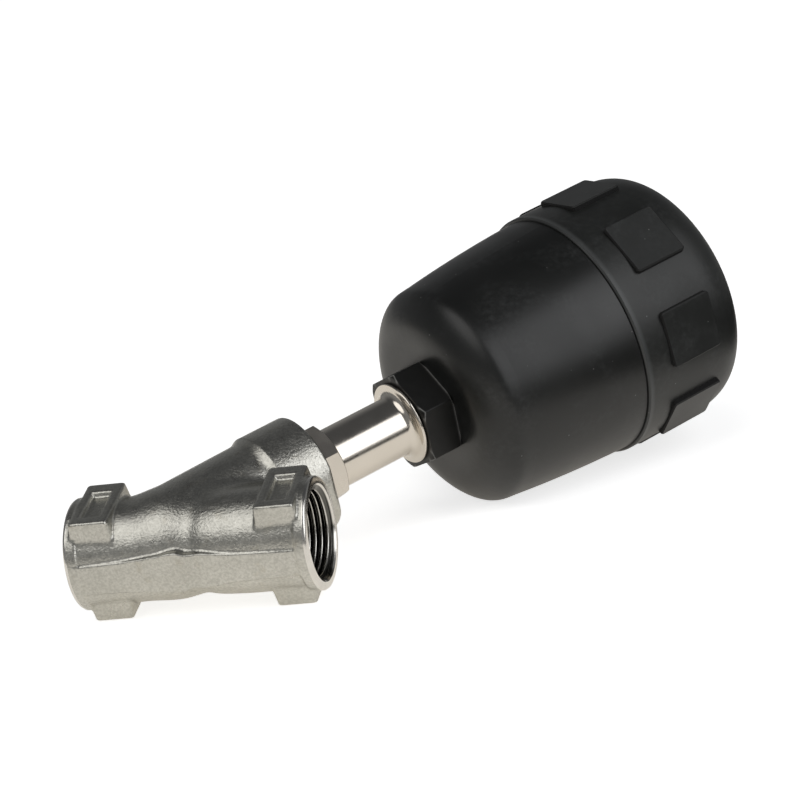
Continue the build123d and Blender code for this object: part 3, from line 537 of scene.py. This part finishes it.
# slot: (material, light tone, dark tone, roughness, grain in mm, its depth in mm, constants of the shader)
METAL = {"Metallic": 1.0}
CLEAR = {"Transmission_Weight": 0.9, "IOR": 1.49}
PLAIN = {
    "spring_steel": ("drawn_spring_steel", (0.50, 0.49, 0.47), (0.36, 0.35, 0.34), 0.3, 0.4, 0.01, METAL),
    "black_anodised": ("black_foot", (0.008, 0.008, 0.0075), (0.005, 0.005, 0.005), 0.4, 0.4, 0.012, {}),
    "seal_rubber": ("seal_rubber", (0.018, 0.018, 0.018), (0.010, 0.010, 0.010), 0.5, 0.3, 0.01, {}),
    "ptfe": ("ptfe", (0.82, 0.81, 0.78), (0.74, 0.73, 0.69), 0.45, 0.6, 0.01, {}),
    "bronze": ("bearing_bronze", (0.60, 0.42, 0.22), (0.46, 0.30, 0.15), 0.32, 0.5, 0.01, METAL),
    "graphite": ("graphite", (0.06, 0.06, 0.065), (0.035, 0.035, 0.04), 0.42, 0.4, 0.02, {"Metallic": 0.4}),
    "piston_alloy": ("piston_alloy", (0.68, 0.69, 0.70), (0.58, 0.59, 0.60), 0.36, 0.6, 0.02, METAL),
    "nickel_brass": ("nickel_brass", (0.74, 0.72, 0.66), (0.64, 0.62, 0.55), 0.25, 0.5, 0.008, METAL),
    "sintered_bronze": ("sintered_bronze", (0.52, 0.38, 0.22), (0.36, 0.25, 0.14), 0.55, 0.25, 0.06, METAL),
    "indicator_yellow": ("indicator_yellow", (0.85, 0.62, 0.03), (0.78, 0.54, 0.02), 0.35, 0.5, 0.008, {}),
    "clear_plastic": ("clear_plastic", (0.95, 0.96, 0.96), (0.92, 0.93, 0.93), 0.1, 0.8, 0.004, CLEAR),
}
finishes = {slot: plain_finish(*row[:-1], **row[-1]) for slot, row in PLAIN.items()}
finishes.update(cast_stainless=cast_steel, turned_stainless=turned_steel, black_plastic=housing_plastic)
used = set()
for node in frame["nodes"].values():
    for holder in node.material_slots:
        slot_name = holder.material.name.split(".")[0]
        used.add(slot_name)
        holder.material = finishes[slot_name]
frame["nodes"]["cover"].material_slots[0].material = cover_plastic
print(len(frame["nodes"]), "nodes finished from", len(used), "slots")

# %% [markdown]
# The casting. A Y body is two pipes that run into each other, and a foundry gives every inner corner a
# fillet, because sharp corners crack as the metal cools. Fillets between round forms are hard to cut from
# solids, but easy to state as a field: a number for every point in space, negative inside the metal and
# zero on its skin. Two fields are joined with a soft minimum, which leaves a fillet of the radius asked
# for, and a hollow is taken away with a soft maximum. The skin is then read off the field with numpy.

# %% Measures of the casting, in the body frame and millimetres
RUN_X = [-45.0, -40.0, -34.0, -27.0, -18.0, -10.0, -1.0, 5.5, 16.0, 27.0, 34.0, 40.0, 45.0]
RUN_R = [19.4, 19.4, 19.3, 19.0, 18.7, 18.1, 16.9, 18.3, 19.0, 19.1, 19.3, 19.4, 19.4]
BAND_START, BAND_SLOPE, BAND_RISE = 39.5, 1.3, 0.9    # the raised band round each port
PORT_FACE = 44.35                                     # the machined rim stands on it
LEAN = math.radians(45.0)
STEM_X = float(stem_foot[0]) - HALF_LENGTH
NECK_START, NECK_END, NECK_R, NECK_TOP_R = 6.0, 40.5, 20.4, 21.0
COLLAR_START, COLLAR_R, NECK_MOUTH = 43.4, 22.45, 61.9
KEEL_X = [-42.0, -26.0, -11.0, -3.5, -0.3, 5.0, 16.0, 30.0, 42.0]
KEEL_HALF = [5.5, 6.1, 7.3, 8.0, 6.9, 7.0, 5.7, 5.1, 4.8]
KEEL_LOW, KEEL_HIGH, KEEL_END = -18.95, -10.0, 42.0
LUG_TOP, LUG_MIDDLE, LUG_LENGTH, LUG_WIDTH, LUG_DRAFT = 20.5, 34.3, 7.2, 13.7, 0.096
LUG_ROOT = 10.0                                       # the lugs start inside the run
POCKET_X, POCKET_LENGTH, POCKET_Y, POCKET_WIDTH, POCKET_DEPTH = 34.5, 4.0, -0.6, 8.5, 1.9
WAY_R, BORE_R, BORE_END = 13.0, 17.6, 28.0            # flow way, and the wider threaded bore
SEAT_R, LIP_R, SEAT_HEIGHT, WEB_LOW = 12.5, 14.2, 14.0, 11.0
WEB_X_LOW, WEB_X_HIGH = -20.0, 35.0                   # where the sloping web can part the two ways
CHAMBER_R, CHAMBER_TOP_R, CHAMBER_STEP = 16.6, 18.5, 48.0
OUTSIDE = 50.0                                        # a distance that never counts
print("knots along the run:", len(RUN_X), " along the keel:", len(KEEL_X))


# %% Curves and fillets
def smooth_curve(x, knots, values):
    """Cubic Hermite curve through the knots; each slope is the mean of its two neighbours' slopes."""
    knots, values = np.array(knots), np.array(values)
    steps = np.diff(values) / np.diff(knots)
    slopes = np.concatenate([[steps[0]], (steps[1:] + steps[:-1]) / 2, [steps[-1]]])
    i = np.clip(np.searchsorted(knots, x) - 1, 0, len(knots) - 2)
    width = knots[i + 1] - knots[i]
    t = np.clip((x - knots[i]) / width, 0.0, 1.0)
    return (values[i] * (1 + 2 * t) * (1 - t) ** 2 + slopes[i] * width * t * (1 - t) ** 2
            + values[i + 1] * t * t * (3 - 2 * t) + slopes[i + 1] * width * t * t * (t - 1))


def soft_join(a, b, fillet):
    """Union of two fields: where they are nearly equal, a little is taken off, which fills the corner."""
    near = np.clip(1 - np.abs(a - b) / (1.7 * fillet), 0.0, 1.0)
    return np.minimum(a, b) - near * near * fillet * 0.425


def soft_cut(a, b, rounding):
    """The part common to two fields, with its outer edge rounded; -b as the second takes b away."""
    return -soft_join(-a, -b, rounding)


print("radius of the run at its waist:", round(float(smooth_curve(-1.0, RUN_X, RUN_R)), 2), "mm")


# %% Outer forms
def run_field(x, r_run):
    """Flow pipe: its radius follows a curve, and a band at each port stands a little proud of it."""
    band = np.clip((np.abs(x) - BAND_START) / BAND_SLOPE, 0.0, 1.0)
    return r_run - smooth_curve(x, RUN_X, RUN_R) - BAND_RISE * band * band * (3 - 2 * band)


def neck_field(s, r_stem):
    """Slanting neck: round at its start, a little wider at its end, with a coned collar and a flat mouth."""
    radius = np.interp(s, [NECK_START, NECK_END], [NECK_R, NECK_TOP_R])
    neck = np.where(s > NECK_START, r_stem - radius, np.hypot(r_stem, s - NECK_START) - NECK_R)
    past = r_stem - COLLAR_R
    collar = np.maximum(past, (COLLAR_START - s) * 0.6 + past * 0.8)
    return soft_cut(soft_join(neck, collar, fillet=0.8), s - NECK_MOUTH, rounding=0.6)


def keel_field(x, y, z):
    """Keel under the run: flat below, square at its ends, its half width a curve along the flow."""
    height = np.maximum(KEEL_LOW - y, y - KEEL_HIGH)
    width = np.abs(z) - smooth_curve(x, KEEL_X, KEEL_HALF)
    return np.maximum(height, np.maximum(width, np.abs(x) - KEEL_END))


def lug_field(x, y, z):
    """Four spanner lugs: blocks that widen with their depth, as the draft of a mould asks."""
    drop = LUG_DRAFT * (LUG_TOP - np.abs(z))
    ends = np.abs(np.abs(x) - LUG_MIDDLE) - LUG_LENGTH - drop
    lug = soft_cut(ends, np.abs(y) - LUG_WIDTH - drop, rounding=0.7)
    lug = soft_cut(lug, np.abs(z) - LUG_TOP, rounding=0.6)
    return np.maximum(lug, LUG_ROOT - np.abs(z))


def pocket_field(x, y, z):
    """Shallow pockets in the lugs of the upper side: a rectangle whose walls lean outwards."""
    lean = 0.5 * (LUG_TOP - z)
    along = np.abs(np.abs(x) - POCKET_X) - POCKET_LENGTH + lean
    across = np.abs(y - POCKET_Y) - POCKET_WIDTH + lean
    return np.maximum(np.maximum(along, across) * 0.9, LUG_TOP - POCKET_DEPTH - z)


print("the run's axis lies", round(float(-run_field(0.0, 0.0)), 2), "mm under its skin in mid-body")


# %% Hollow and whole
def ways_field(x, s, r_run, r_stem):
    """The hollow: one way under the seat web, one over it, the chamber in the neck and the threaded ends."""
    under = np.minimum(r_run - WAY_R, np.maximum(r_stem - SEAT_R, np.abs(s - 3.0) - 10.0))
    under = soft_cut(under, np.where(x < WEB_X_HIGH, s - WEB_LOW, OUTSIDE), rounding=1.5)
    over = soft_cut(r_run - WAY_R, SEAT_HEIGHT - s, rounding=1.5)
    over = np.where(x > WEB_X_LOW, over, OUTSIDE)
    chamber_r = np.where(s > CHAMBER_STEP, CHAMBER_TOP_R, CHAMBER_R)
    chamber = np.maximum(r_stem - chamber_r, SEAT_HEIGHT - s)
    ways = soft_join(np.minimum(under, over), chamber, fillet=1.5)
    return np.minimum(ways, np.maximum(r_run - BORE_R, BORE_END - np.abs(x)))


def casting_field(p):
    """Distance to the casting's skin, negative in the metal: run, neck, keel and lugs joined with their
    fillets, less the pockets and the ways through it, plus the seat's lip."""
    x, y, z = p[..., 0], p[..., 1], p[..., 2]
    s = (x - STEM_X) * math.cos(LEAN) + y * math.sin(LEAN)
    q = (x - STEM_X) * math.sin(LEAN) - y * math.cos(LEAN)
    r_run, r_stem = np.hypot(y, z), np.hypot(q, z)
    body = soft_join(run_field(x, r_run), neck_field(s, r_stem), fillet=2.6)
    body = soft_join(body, keel_field(x, y, z), fillet=0.6)
    body = soft_join(body, lug_field(x, y, z), fillet=0.6)
    body = soft_cut(body, -pocket_field(x, y, z), rounding=0.35)
    body = soft_cut(body, np.abs(x) - PORT_FACE, rounding=0.4)
    body = soft_cut(body, -ways_field(x, s, r_run, r_stem), rounding=0.8)
    lip = np.maximum(np.maximum(r_stem - LIP_R, SEAT_R - r_stem), np.abs(s - SEAT_HEIGHT) - 1.0)
    body = soft_join(body, lip, fillet=0.5)
    return np.maximum(body, -np.maximum(r_stem - SEAT_R, np.abs(s - 13.0) - 4.0))


print("field in the middle of the inlet, mm:", casting_field(np.array([[-40.0, 0.0, 0.0]])).round(2))

# %% [markdown]
# Reading the skin off the field: space is cut into small cubes, and every cube whose corners lie on both
# sides of zero gets one point, at the mean of the crossings of its edges. Cubes that share a crossed edge
# are neighbours, and their four points are a face. A few steps down the field's slope then put each point
# exactly on the skin, which takes the staircase out.

# %% From field to skin
def corner_view(grid, dx, dy, dz):
    """The values at one corner of every cube; dx, dy and dz are 0 or 1 and say which corner."""
    return grid[dx:grid.shape[0] - 1 + dx, dy:grid.shape[1] - 1 + dy, dz:grid.shape[2] - 1 + dz]


def skin_of(field, low, high, cell):
    """Points and outward quads of field's zero surface in the box low..high, with cubes of one size."""
    axes = [np.arange(low[k], high[k] + cell, cell) for k in range(3)]
    grid = field(np.stack(np.meshgrid(*axes, indexing="ij"), axis=-1))
    inside = grid < 0
    offsets = [(i, j, k) for i in (0, 1) for j in (0, 1) for k in (0, 1)]
    filled = sum(corner_view(inside, *o).astype(np.int8) for o in offsets)
    mixed = (filled > 0) & (filled < 8)
    number = np.full(mixed.shape, -1)    # of each cube's point; -1 for a cube without one
    number[mixed] = np.arange(mixed.sum())
    total, count = np.zeros((mixed.sum(), 3)), np.zeros(mixed.sum())
    for a in offsets:
        for k in range(3):
            if a[k]:
                continue
            b = tuple(1 if m == k else a[m] for m in range(3))
            va, vb = corner_view(grid, *a)[mixed], corner_view(grid, *b)[mixed]
            crossed = (va < 0) != (vb < 0)
            share = np.where(crossed, va / np.where(crossed, va - vb, 1.0), 0.0)
            point = np.array(a, float)[None, :].repeat(len(va), 0)
            point[:, k] += share
            total += np.where(crossed[:, None], point, 0.0)
            count += crossed
    cube = np.stack(np.nonzero(mixed), axis=-1)
    points = np.array(low) + cell * (cube + total / count[:, None])
    quads = []    # one for every crossed edge that isn't on the border, from the four cubes round it
    for k in range(3):
        a_axis, b_axis = [(1, 2), (2, 0), (0, 1)][k]
        first = np.take(inside, range(grid.shape[k] - 1), axis=k)
        second = np.take(inside, range(1, grid.shape[k]), axis=k)
        where = np.stack(np.nonzero(first != second), axis=-1)
        where = where[np.all(where[:, [a_axis, b_axis]] > 0, axis=1)]
        where = where[(where[:, a_axis] < mixed.shape[a_axis]) & (where[:, b_axis] < mixed.shape[b_axis])]
        outward = first[tuple(where.T)]
        around = []
        for da, db in ((1, 1), (0, 1), (0, 0), (1, 0)):
            at = where.copy()
            at[:, a_axis] -= da
            at[:, b_axis] -= db
            around.append(number[tuple(at.T)])
        quad = np.stack(around, axis=-1)
        quads.append(np.where(outward[:, None], quad, quad[:, ::-1]))
    return points, np.concatenate(quads)


def settle(points, field, steps=4, reach=0.25):
    """Moves points down the field's slope on to its zero surface; each step is the field's value there."""
    nudge, least = 0.05, 0.2    # mm for the slope's differences; the smallest slope squared that counts
    for _ in range(steps):
        value = field(points)
        slope = np.stack([field(points + nudge * e) - field(points - nudge * e) for e in np.eye(3)], -1)
        slope /= 2 * nudge
        length = np.maximum((slope ** 2).sum(-1), least)
        points = points - np.clip(value / length, -reach, reach)[:, None] * slope
    return points


CAST_LOW, CAST_HIGH, CUBE = (-46.0, -24.0, -25.5), (47.0, 62.0, 25.5), 0.58
points, quads = skin_of(casting_field, CAST_LOW, CAST_HIGH, CUBE)
points = settle(points, casting_field)
cast_body = make_piece("cast_body", from_body(points), quads, cast_steel, "valve")
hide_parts("valve_body")
print("casting: triangles", 2 * len(quads), " left over from zero, mm:",
      round(float(np.abs(casting_field(points)).max()), 3))

# %% [markdown]
# The ports. Each end of the casting is faced and threaded on a machine: a bright narrow ring, a lead-in
# chamfer, and a parallel pipe thread behind it, eleven turns to the inch. A thread is one profile carried
# round the axis while it creeps along it, so its radius is a wave of the depth less the angle's share of a
# turn. The ring is closed behind, inside the metal, so it is a solid rim and no loose sheet.

# %% Machined steel
# painted shade: the thread's grooves between these radii get a dark tone
GROOVE_SHADE_IN, GROOVE_SHADE_OUT = (15.25, 15.6), (16.95, 16.75)    # radii between which the grooves look dark, mm
machined = Finish("machined_port_steel", Metallic=1.0)
shade = machined.remap(machined.noise(6.0, 3.0), 0.3, 0.7)
tone = machined.colours(shade, (0.66, 0.64, 0.60), (0.74, 0.72, 0.68))
smear = machined.remap(machined.noise(1.5, 3.0), 0.3, 0.7, 0.15, 0.24)
axes = machined.new("ShaderNodeSeparateXYZ")
machined.join(machined.place, axes.inputs[0])
across = machined.maths("ADD", machined.maths("POWER", axes.outputs["Y"], 2.0),
                        machined.maths("POWER", axes.outputs["Z"], 2.0))
from_axis = machined.maths("POWER", across, 0.5)
groove_shade = machined.maths("MULTIPLY", machined.remap(from_axis, GROOVE_SHADE_IN[0] * MM, GROOVE_SHADE_IN[1] * MM),
                        machined.remap(from_axis, GROOVE_SHADE_OUT[0] * MM, GROOVE_SHADE_OUT[1] * MM))
# painted shade: the thread's flanks and roots inside the bore are darkened
tone = machined.colours(groove_shade, tone, (0.10, 0.098, 0.09))
port_steel = machined.paint(tone, smear, machined.bump(machined.noise(0.4, 2.0), 0.008, 0.5))
print(port_steel.name, len(machined.tree.nodes), "nodes")


# %% Threaded rims
def thread_radius(depth, angle, pitch, crest, root):
    """Bore radius in a right-hand thread: a triangle wave of the depth and the angle, its tips rounded,
    from the crest's radius to the root's."""
    phase = (-depth / pitch - angle / (2 * math.pi)) % 1.0
    wave = np.clip(np.abs(2 * phase - 1) * 1.16 - 0.08, 0.0, 1.0)
    return crest + (root - crest) * wave * wave * (3 - 2 * wave)


def threaded_rim(name, centre, outwards, rim, pitch, crest, root, length, back, material, body, slot,
                 columns=240):
    """Closed ring round a threaded hole. rim is the outer part as (depth, radius) points, ending where the
    lead-in chamfer starts; the thread runs on to length; back is the radius of the hidden return."""
    outwards = np.array(outwards) / np.linalg.norm(outwards)
    first = np.cross(outwards, [0.0, 0.0, 1.0])
    first /= np.linalg.norm(first)
    second = np.cross(outwards, first)
    angle = np.linspace(0, 2 * math.pi, columns, endpoint=False)
    rim = np.array(rim, float)
    depth = np.arange(rim[-1, 0] + 0.02, length, pitch / 16)[:, None]
    chamfer = rim[-1, 1] - (depth - rim[-1, 0])
    cut = np.maximum(thread_radius(depth, angle[None, :], pitch, crest, root), chamfer)
    cut = np.where(depth > length - pitch / 4, root, cut)
    tail = np.array([(length, root), (length, back), (rim[0, 0], back)])
    depths = np.concatenate([rim[:, 0], depth[:, 0], tail[:, 0]])[:, None].repeat(columns, 1)
    radii = np.concatenate([rim[:, 1:].repeat(columns, 1), cut, tail[:, 1:].repeat(columns, 1)])
    around = np.cos(angle)[:, None] * first + np.sin(angle)[:, None] * second
    points = np.array(centre) - depths[..., None] * outwards + radii[..., None] * around[None]
    faces = grid_faces(len(depths), columns, close_rows=True)
    return make_piece(name, points, turn_outwards(points, faces), material, body, sharp_angle=40)


def turn_outwards(points, faces):
    """Flips the faces of a closed surface when the volume they enclose comes out negative."""
    flat = points.reshape(-1, 3) - points.reshape(-1, 3).mean(0)
    a, b, c, d = (flat[faces[:, k]] for k in range(4))
    volume = (np.cross(a, b) * c).sum() + (np.cross(a, c) * d).sum()
    return faces if volume > 0 else faces[:, ::-1]


# %% The four threads
PORT_RIM = [(1.4, 20.3), (0.9, 20.3), (0.25, 19.9), (0.0, 19.35), (0.0, 17.45)]
PORT_THREAD = {"pitch": 2.309, "crest": 15.146, "root": 16.6245, "length": 17.1, "back": 18.3}
AIR_RIM = [(0.35, 7.4), (0.06, 7.3), (-0.05, 7.1), (-0.05, 6.85)]
AIR_THREAD = {"pitch": 1.337, "crest": 5.72, "root": 6.57, "length": 6.75, "back": 7.4}
AIR_SINK = 0.2    # how far the mount lies under the face of the insert, mm
mount = {m["name"]: m for m in frame["record"]["mounts"]}
for end in ("inlet", "outlet"):
    port = mount[end + "_port"]
    threaded_rim(end + "_thread", np.array(port["pos_m"]) / MM, port["axis"], PORT_RIM, **PORT_THREAD,
                 material=port_steel, body="valve", slot="turned_stainless")
for air in ("pilot", "vent"):
    port = mount[air + "_port"]
    face = np.array(port["pos_m"]) / MM + AIR_SINK * np.array(port["axis"])
    threaded_rim(air + "_thread", face, port["axis"], AIR_RIM, **AIR_THREAD, material=finishes["nickel_brass"],
                 body="actuator", slot="nickel_brass", columns=72)

# %% [markdown]
# Nipple and foot. Both are turned from hexagon bar: the lathe leaves the bar's six flats where a spanner
# goes and cuts a cone over their corners, so the edge of that cone draws a shallow arc on every flat. As a
# formula the radius is the smaller of two: the hexagon's, which depends on the direction, and the cone's,
# which depends on the height. One closed outline, walked once, then makes the whole piece with its bore.

# %% Turned pieces with a hexagon
def hexagon_radius(angle, across_flats, corner):
    """Half the width over the cosine of the angle to the middle of the nearest flat."""
    return across_flats / 2 / np.cos((angle - math.radians(corner)) % (math.pi / 3) - math.pi / 6)


def soft_least(a, b, rounding):
    """The smaller of two values, rounded where they meet."""
    near = np.clip(1 - np.abs(a - b) / rounding, 0.0, 1.0)
    return np.minimum(a, b) - near * near * rounding * 0.25


def spun(points, columns):
    """Radii and heights of an outline's points, each repeated for every direction round the axis."""
    points = np.array(points, float)
    return points[:, :1].repeat(columns, 1), points[:, 1:].repeat(columns, 1)


# Fine steps near both ends of a hexagon, where its cones curve, and a few between them.
SHARES = np.concatenate([np.linspace(0.0, 0.2, 26), np.linspace(0.24, 0.76, 5), np.linspace(0.8, 1.0, 26)])
CONE_SLOPE = 1 / math.tan(math.radians(30.0))
CORNER_ROUNDING = 0.35    # mm
# widths along the cones' edges and at the upper end where the coating is rubbed and a highlight is painted
EDGE_WEAR_AND_HIGHLIGHT, END_WEAR_AND_HIGHLIGHT = 0.3, 0.6    # mm over which the coating is rubbed


def turned_bar(name, before, across_flats, corner, low, high, starts, after, material, body,
               columns=360):
    """Closed outline round the stem: (radius, height) points up to a hexagon, the hexagon from its height low
    to high, and the points after it. starts are the radii at which a cone of 30 degrees starts at its two
    ends. Each point keeps, as a value, how near it lies to a cone's edge or to the upper end, where the
    coating is rubbed and a highlight is painted."""
    angle = np.linspace(0, 2 * math.pi, columns, endpoint=False)
    height = low + (high - low) * SHARES[:, None]
    cone = np.minimum(starts[0] + (height - low) * CONE_SLOPE, starts[1] + (high - height) * CONE_SLOPE)
    bar = hexagon_radius(angle, across_flats, corner)[None, :]
    wear_and_highlight = np.maximum(np.exp(-((bar - cone) / EDGE_WEAR_AND_HIGHLIGHT) ** 2), np.exp(-((high - height) / END_WEAR_AND_HIGHLIGHT) ** 2))
    (r_before, h_before), (r_after, h_after) = spun(before, columns), spun(after, columns)
    radii = np.concatenate([r_before, soft_least(bar, cone, CORNER_ROUNDING), r_after])
    heights = np.concatenate([h_before, height.repeat(columns, 1), h_after])
    points = from_stem(radii, np.broadcast_to(angle, radii.shape), heights)
    faces = turn_outwards(points, grid_faces(len(radii), columns, close_rows=True))
    piece = make_piece(name, points, faces, material, body, sharp_angle=32)
    edge = piece.data.attributes.new("wear_and_highlight", "FLOAT", "POINT")
    padded = np.concatenate([np.zeros(r_before.shape), wear_and_highlight, np.zeros(r_after.shape)])
    edge.data.foreach_set("value", padded.ravel())
    return piece


# %% Nipple
TUBE_R, FLARE_R, FLARE_START = 11.55, 3.1, 101.0    # the tube opens into its flange with a quarter round
HEX_LOW, HEX_HIGH = 62.0, 71.3
NO_CONE = 90.0    # so wide that it never cuts
sweep = np.linspace(0, math.pi / 2, 14)
flare = np.stack([TUBE_R + FLARE_R - FLARE_R * np.cos(sweep), FLARE_START + FLARE_R * np.sin(sweep)], axis=-1)
nipple_foot = [(5.6, 48.0), (16.0, 48.0), (16.0, 49.2), (17.85, 49.2), (18.45, 49.8), (18.45, 61.1),
               (17.6, 61.9), (15.0, 62.0)]
nipple_tube = [(13.2, HEX_HIGH), (TUBE_R + 0.5, HEX_HIGH), (TUBE_R, 71.7), *flare.tolist()]
nipple_flange = [(15.5, 104.15), (15.95, 104.3), (16.1, 104.6), (16.1, 105.3), (15.7, 105.7)]
nipple_spigot = [(10.8, 105.7), (10.8, 116.4), (10.2, 117.0), (8.0, 117.0), (8.0, 58.0), (5.6, 58.0)]
nipple = turned_bar("turned_nipple", nipple_foot, 27.0, 35.0, HEX_LOW, HEX_HIGH, (NO_CONE, 13.4),
                    nipple_tube + nipple_flange + nipple_spigot, turned_steel, "valve")
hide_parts("nipple")

# %% [markdown]
# Black foot. The hexagonal foot of the actuator is machined from bar and coated black. Its coating is thin,
# so it goes first where a spanner and a sleeve rub: along the edges of the two cones and round the upper
# end. A highlight is painted along the same lines. The value kept with each point says how near it is to
# those, and it mixes in a paler tone, part worn coating and part painted highlight.

# %% Black foot
FOOT_LOW, FOOT_HIGH = 105.7, 119.15
coat = Finish("black_foot_coating", IOR=1.36)
worn_and_highlit = coat.new("ShaderNodeAttribute", attribute_name="wear_and_highlight").outputs["Fac"]
worn_and_highlit = coat.maths("MULTIPLY", worn_and_highlit, coat.remap(coat.noise(1.5, 3.0), 0.3, 0.6, 0.6, 1.0))
tone = coat.colours(coat.noise(5.0, 3.0), (0.006, 0.006, 0.0055), (0.009, 0.009, 0.0085))
# the paler tone is part worn coating and part painted highlight
tone = coat.colours(worn_and_highlit, tone, (0.26, 0.26, 0.25))
satin = coat.remap(coat.noise(4.0, 3.0), 0.3, 0.7, 0.36, 0.46)
foot_coat = coat.paint(tone, satin, coat.bump(coat.noise(0.4), 0.01, 0.6))
foot_low = [(6.0, 123.0), (6.0, 119.0), (10.85, 119.0), (10.85, 106.2), (11.3, 105.7), (16.9, FOOT_LOW)]
foot_top = [(16.6, FOOT_HIGH), (12.5, 119.1), (12.5, 129.0), (8.2, 129.0), (8.2, 123.0)]
foot = turned_bar("black_foot", foot_low, 35.0, 28.5, FOOT_LOW, FOOT_HIGH, (18.9, 18.6), foot_top, foot_coat,
                  "actuator")
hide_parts("foot_bush")
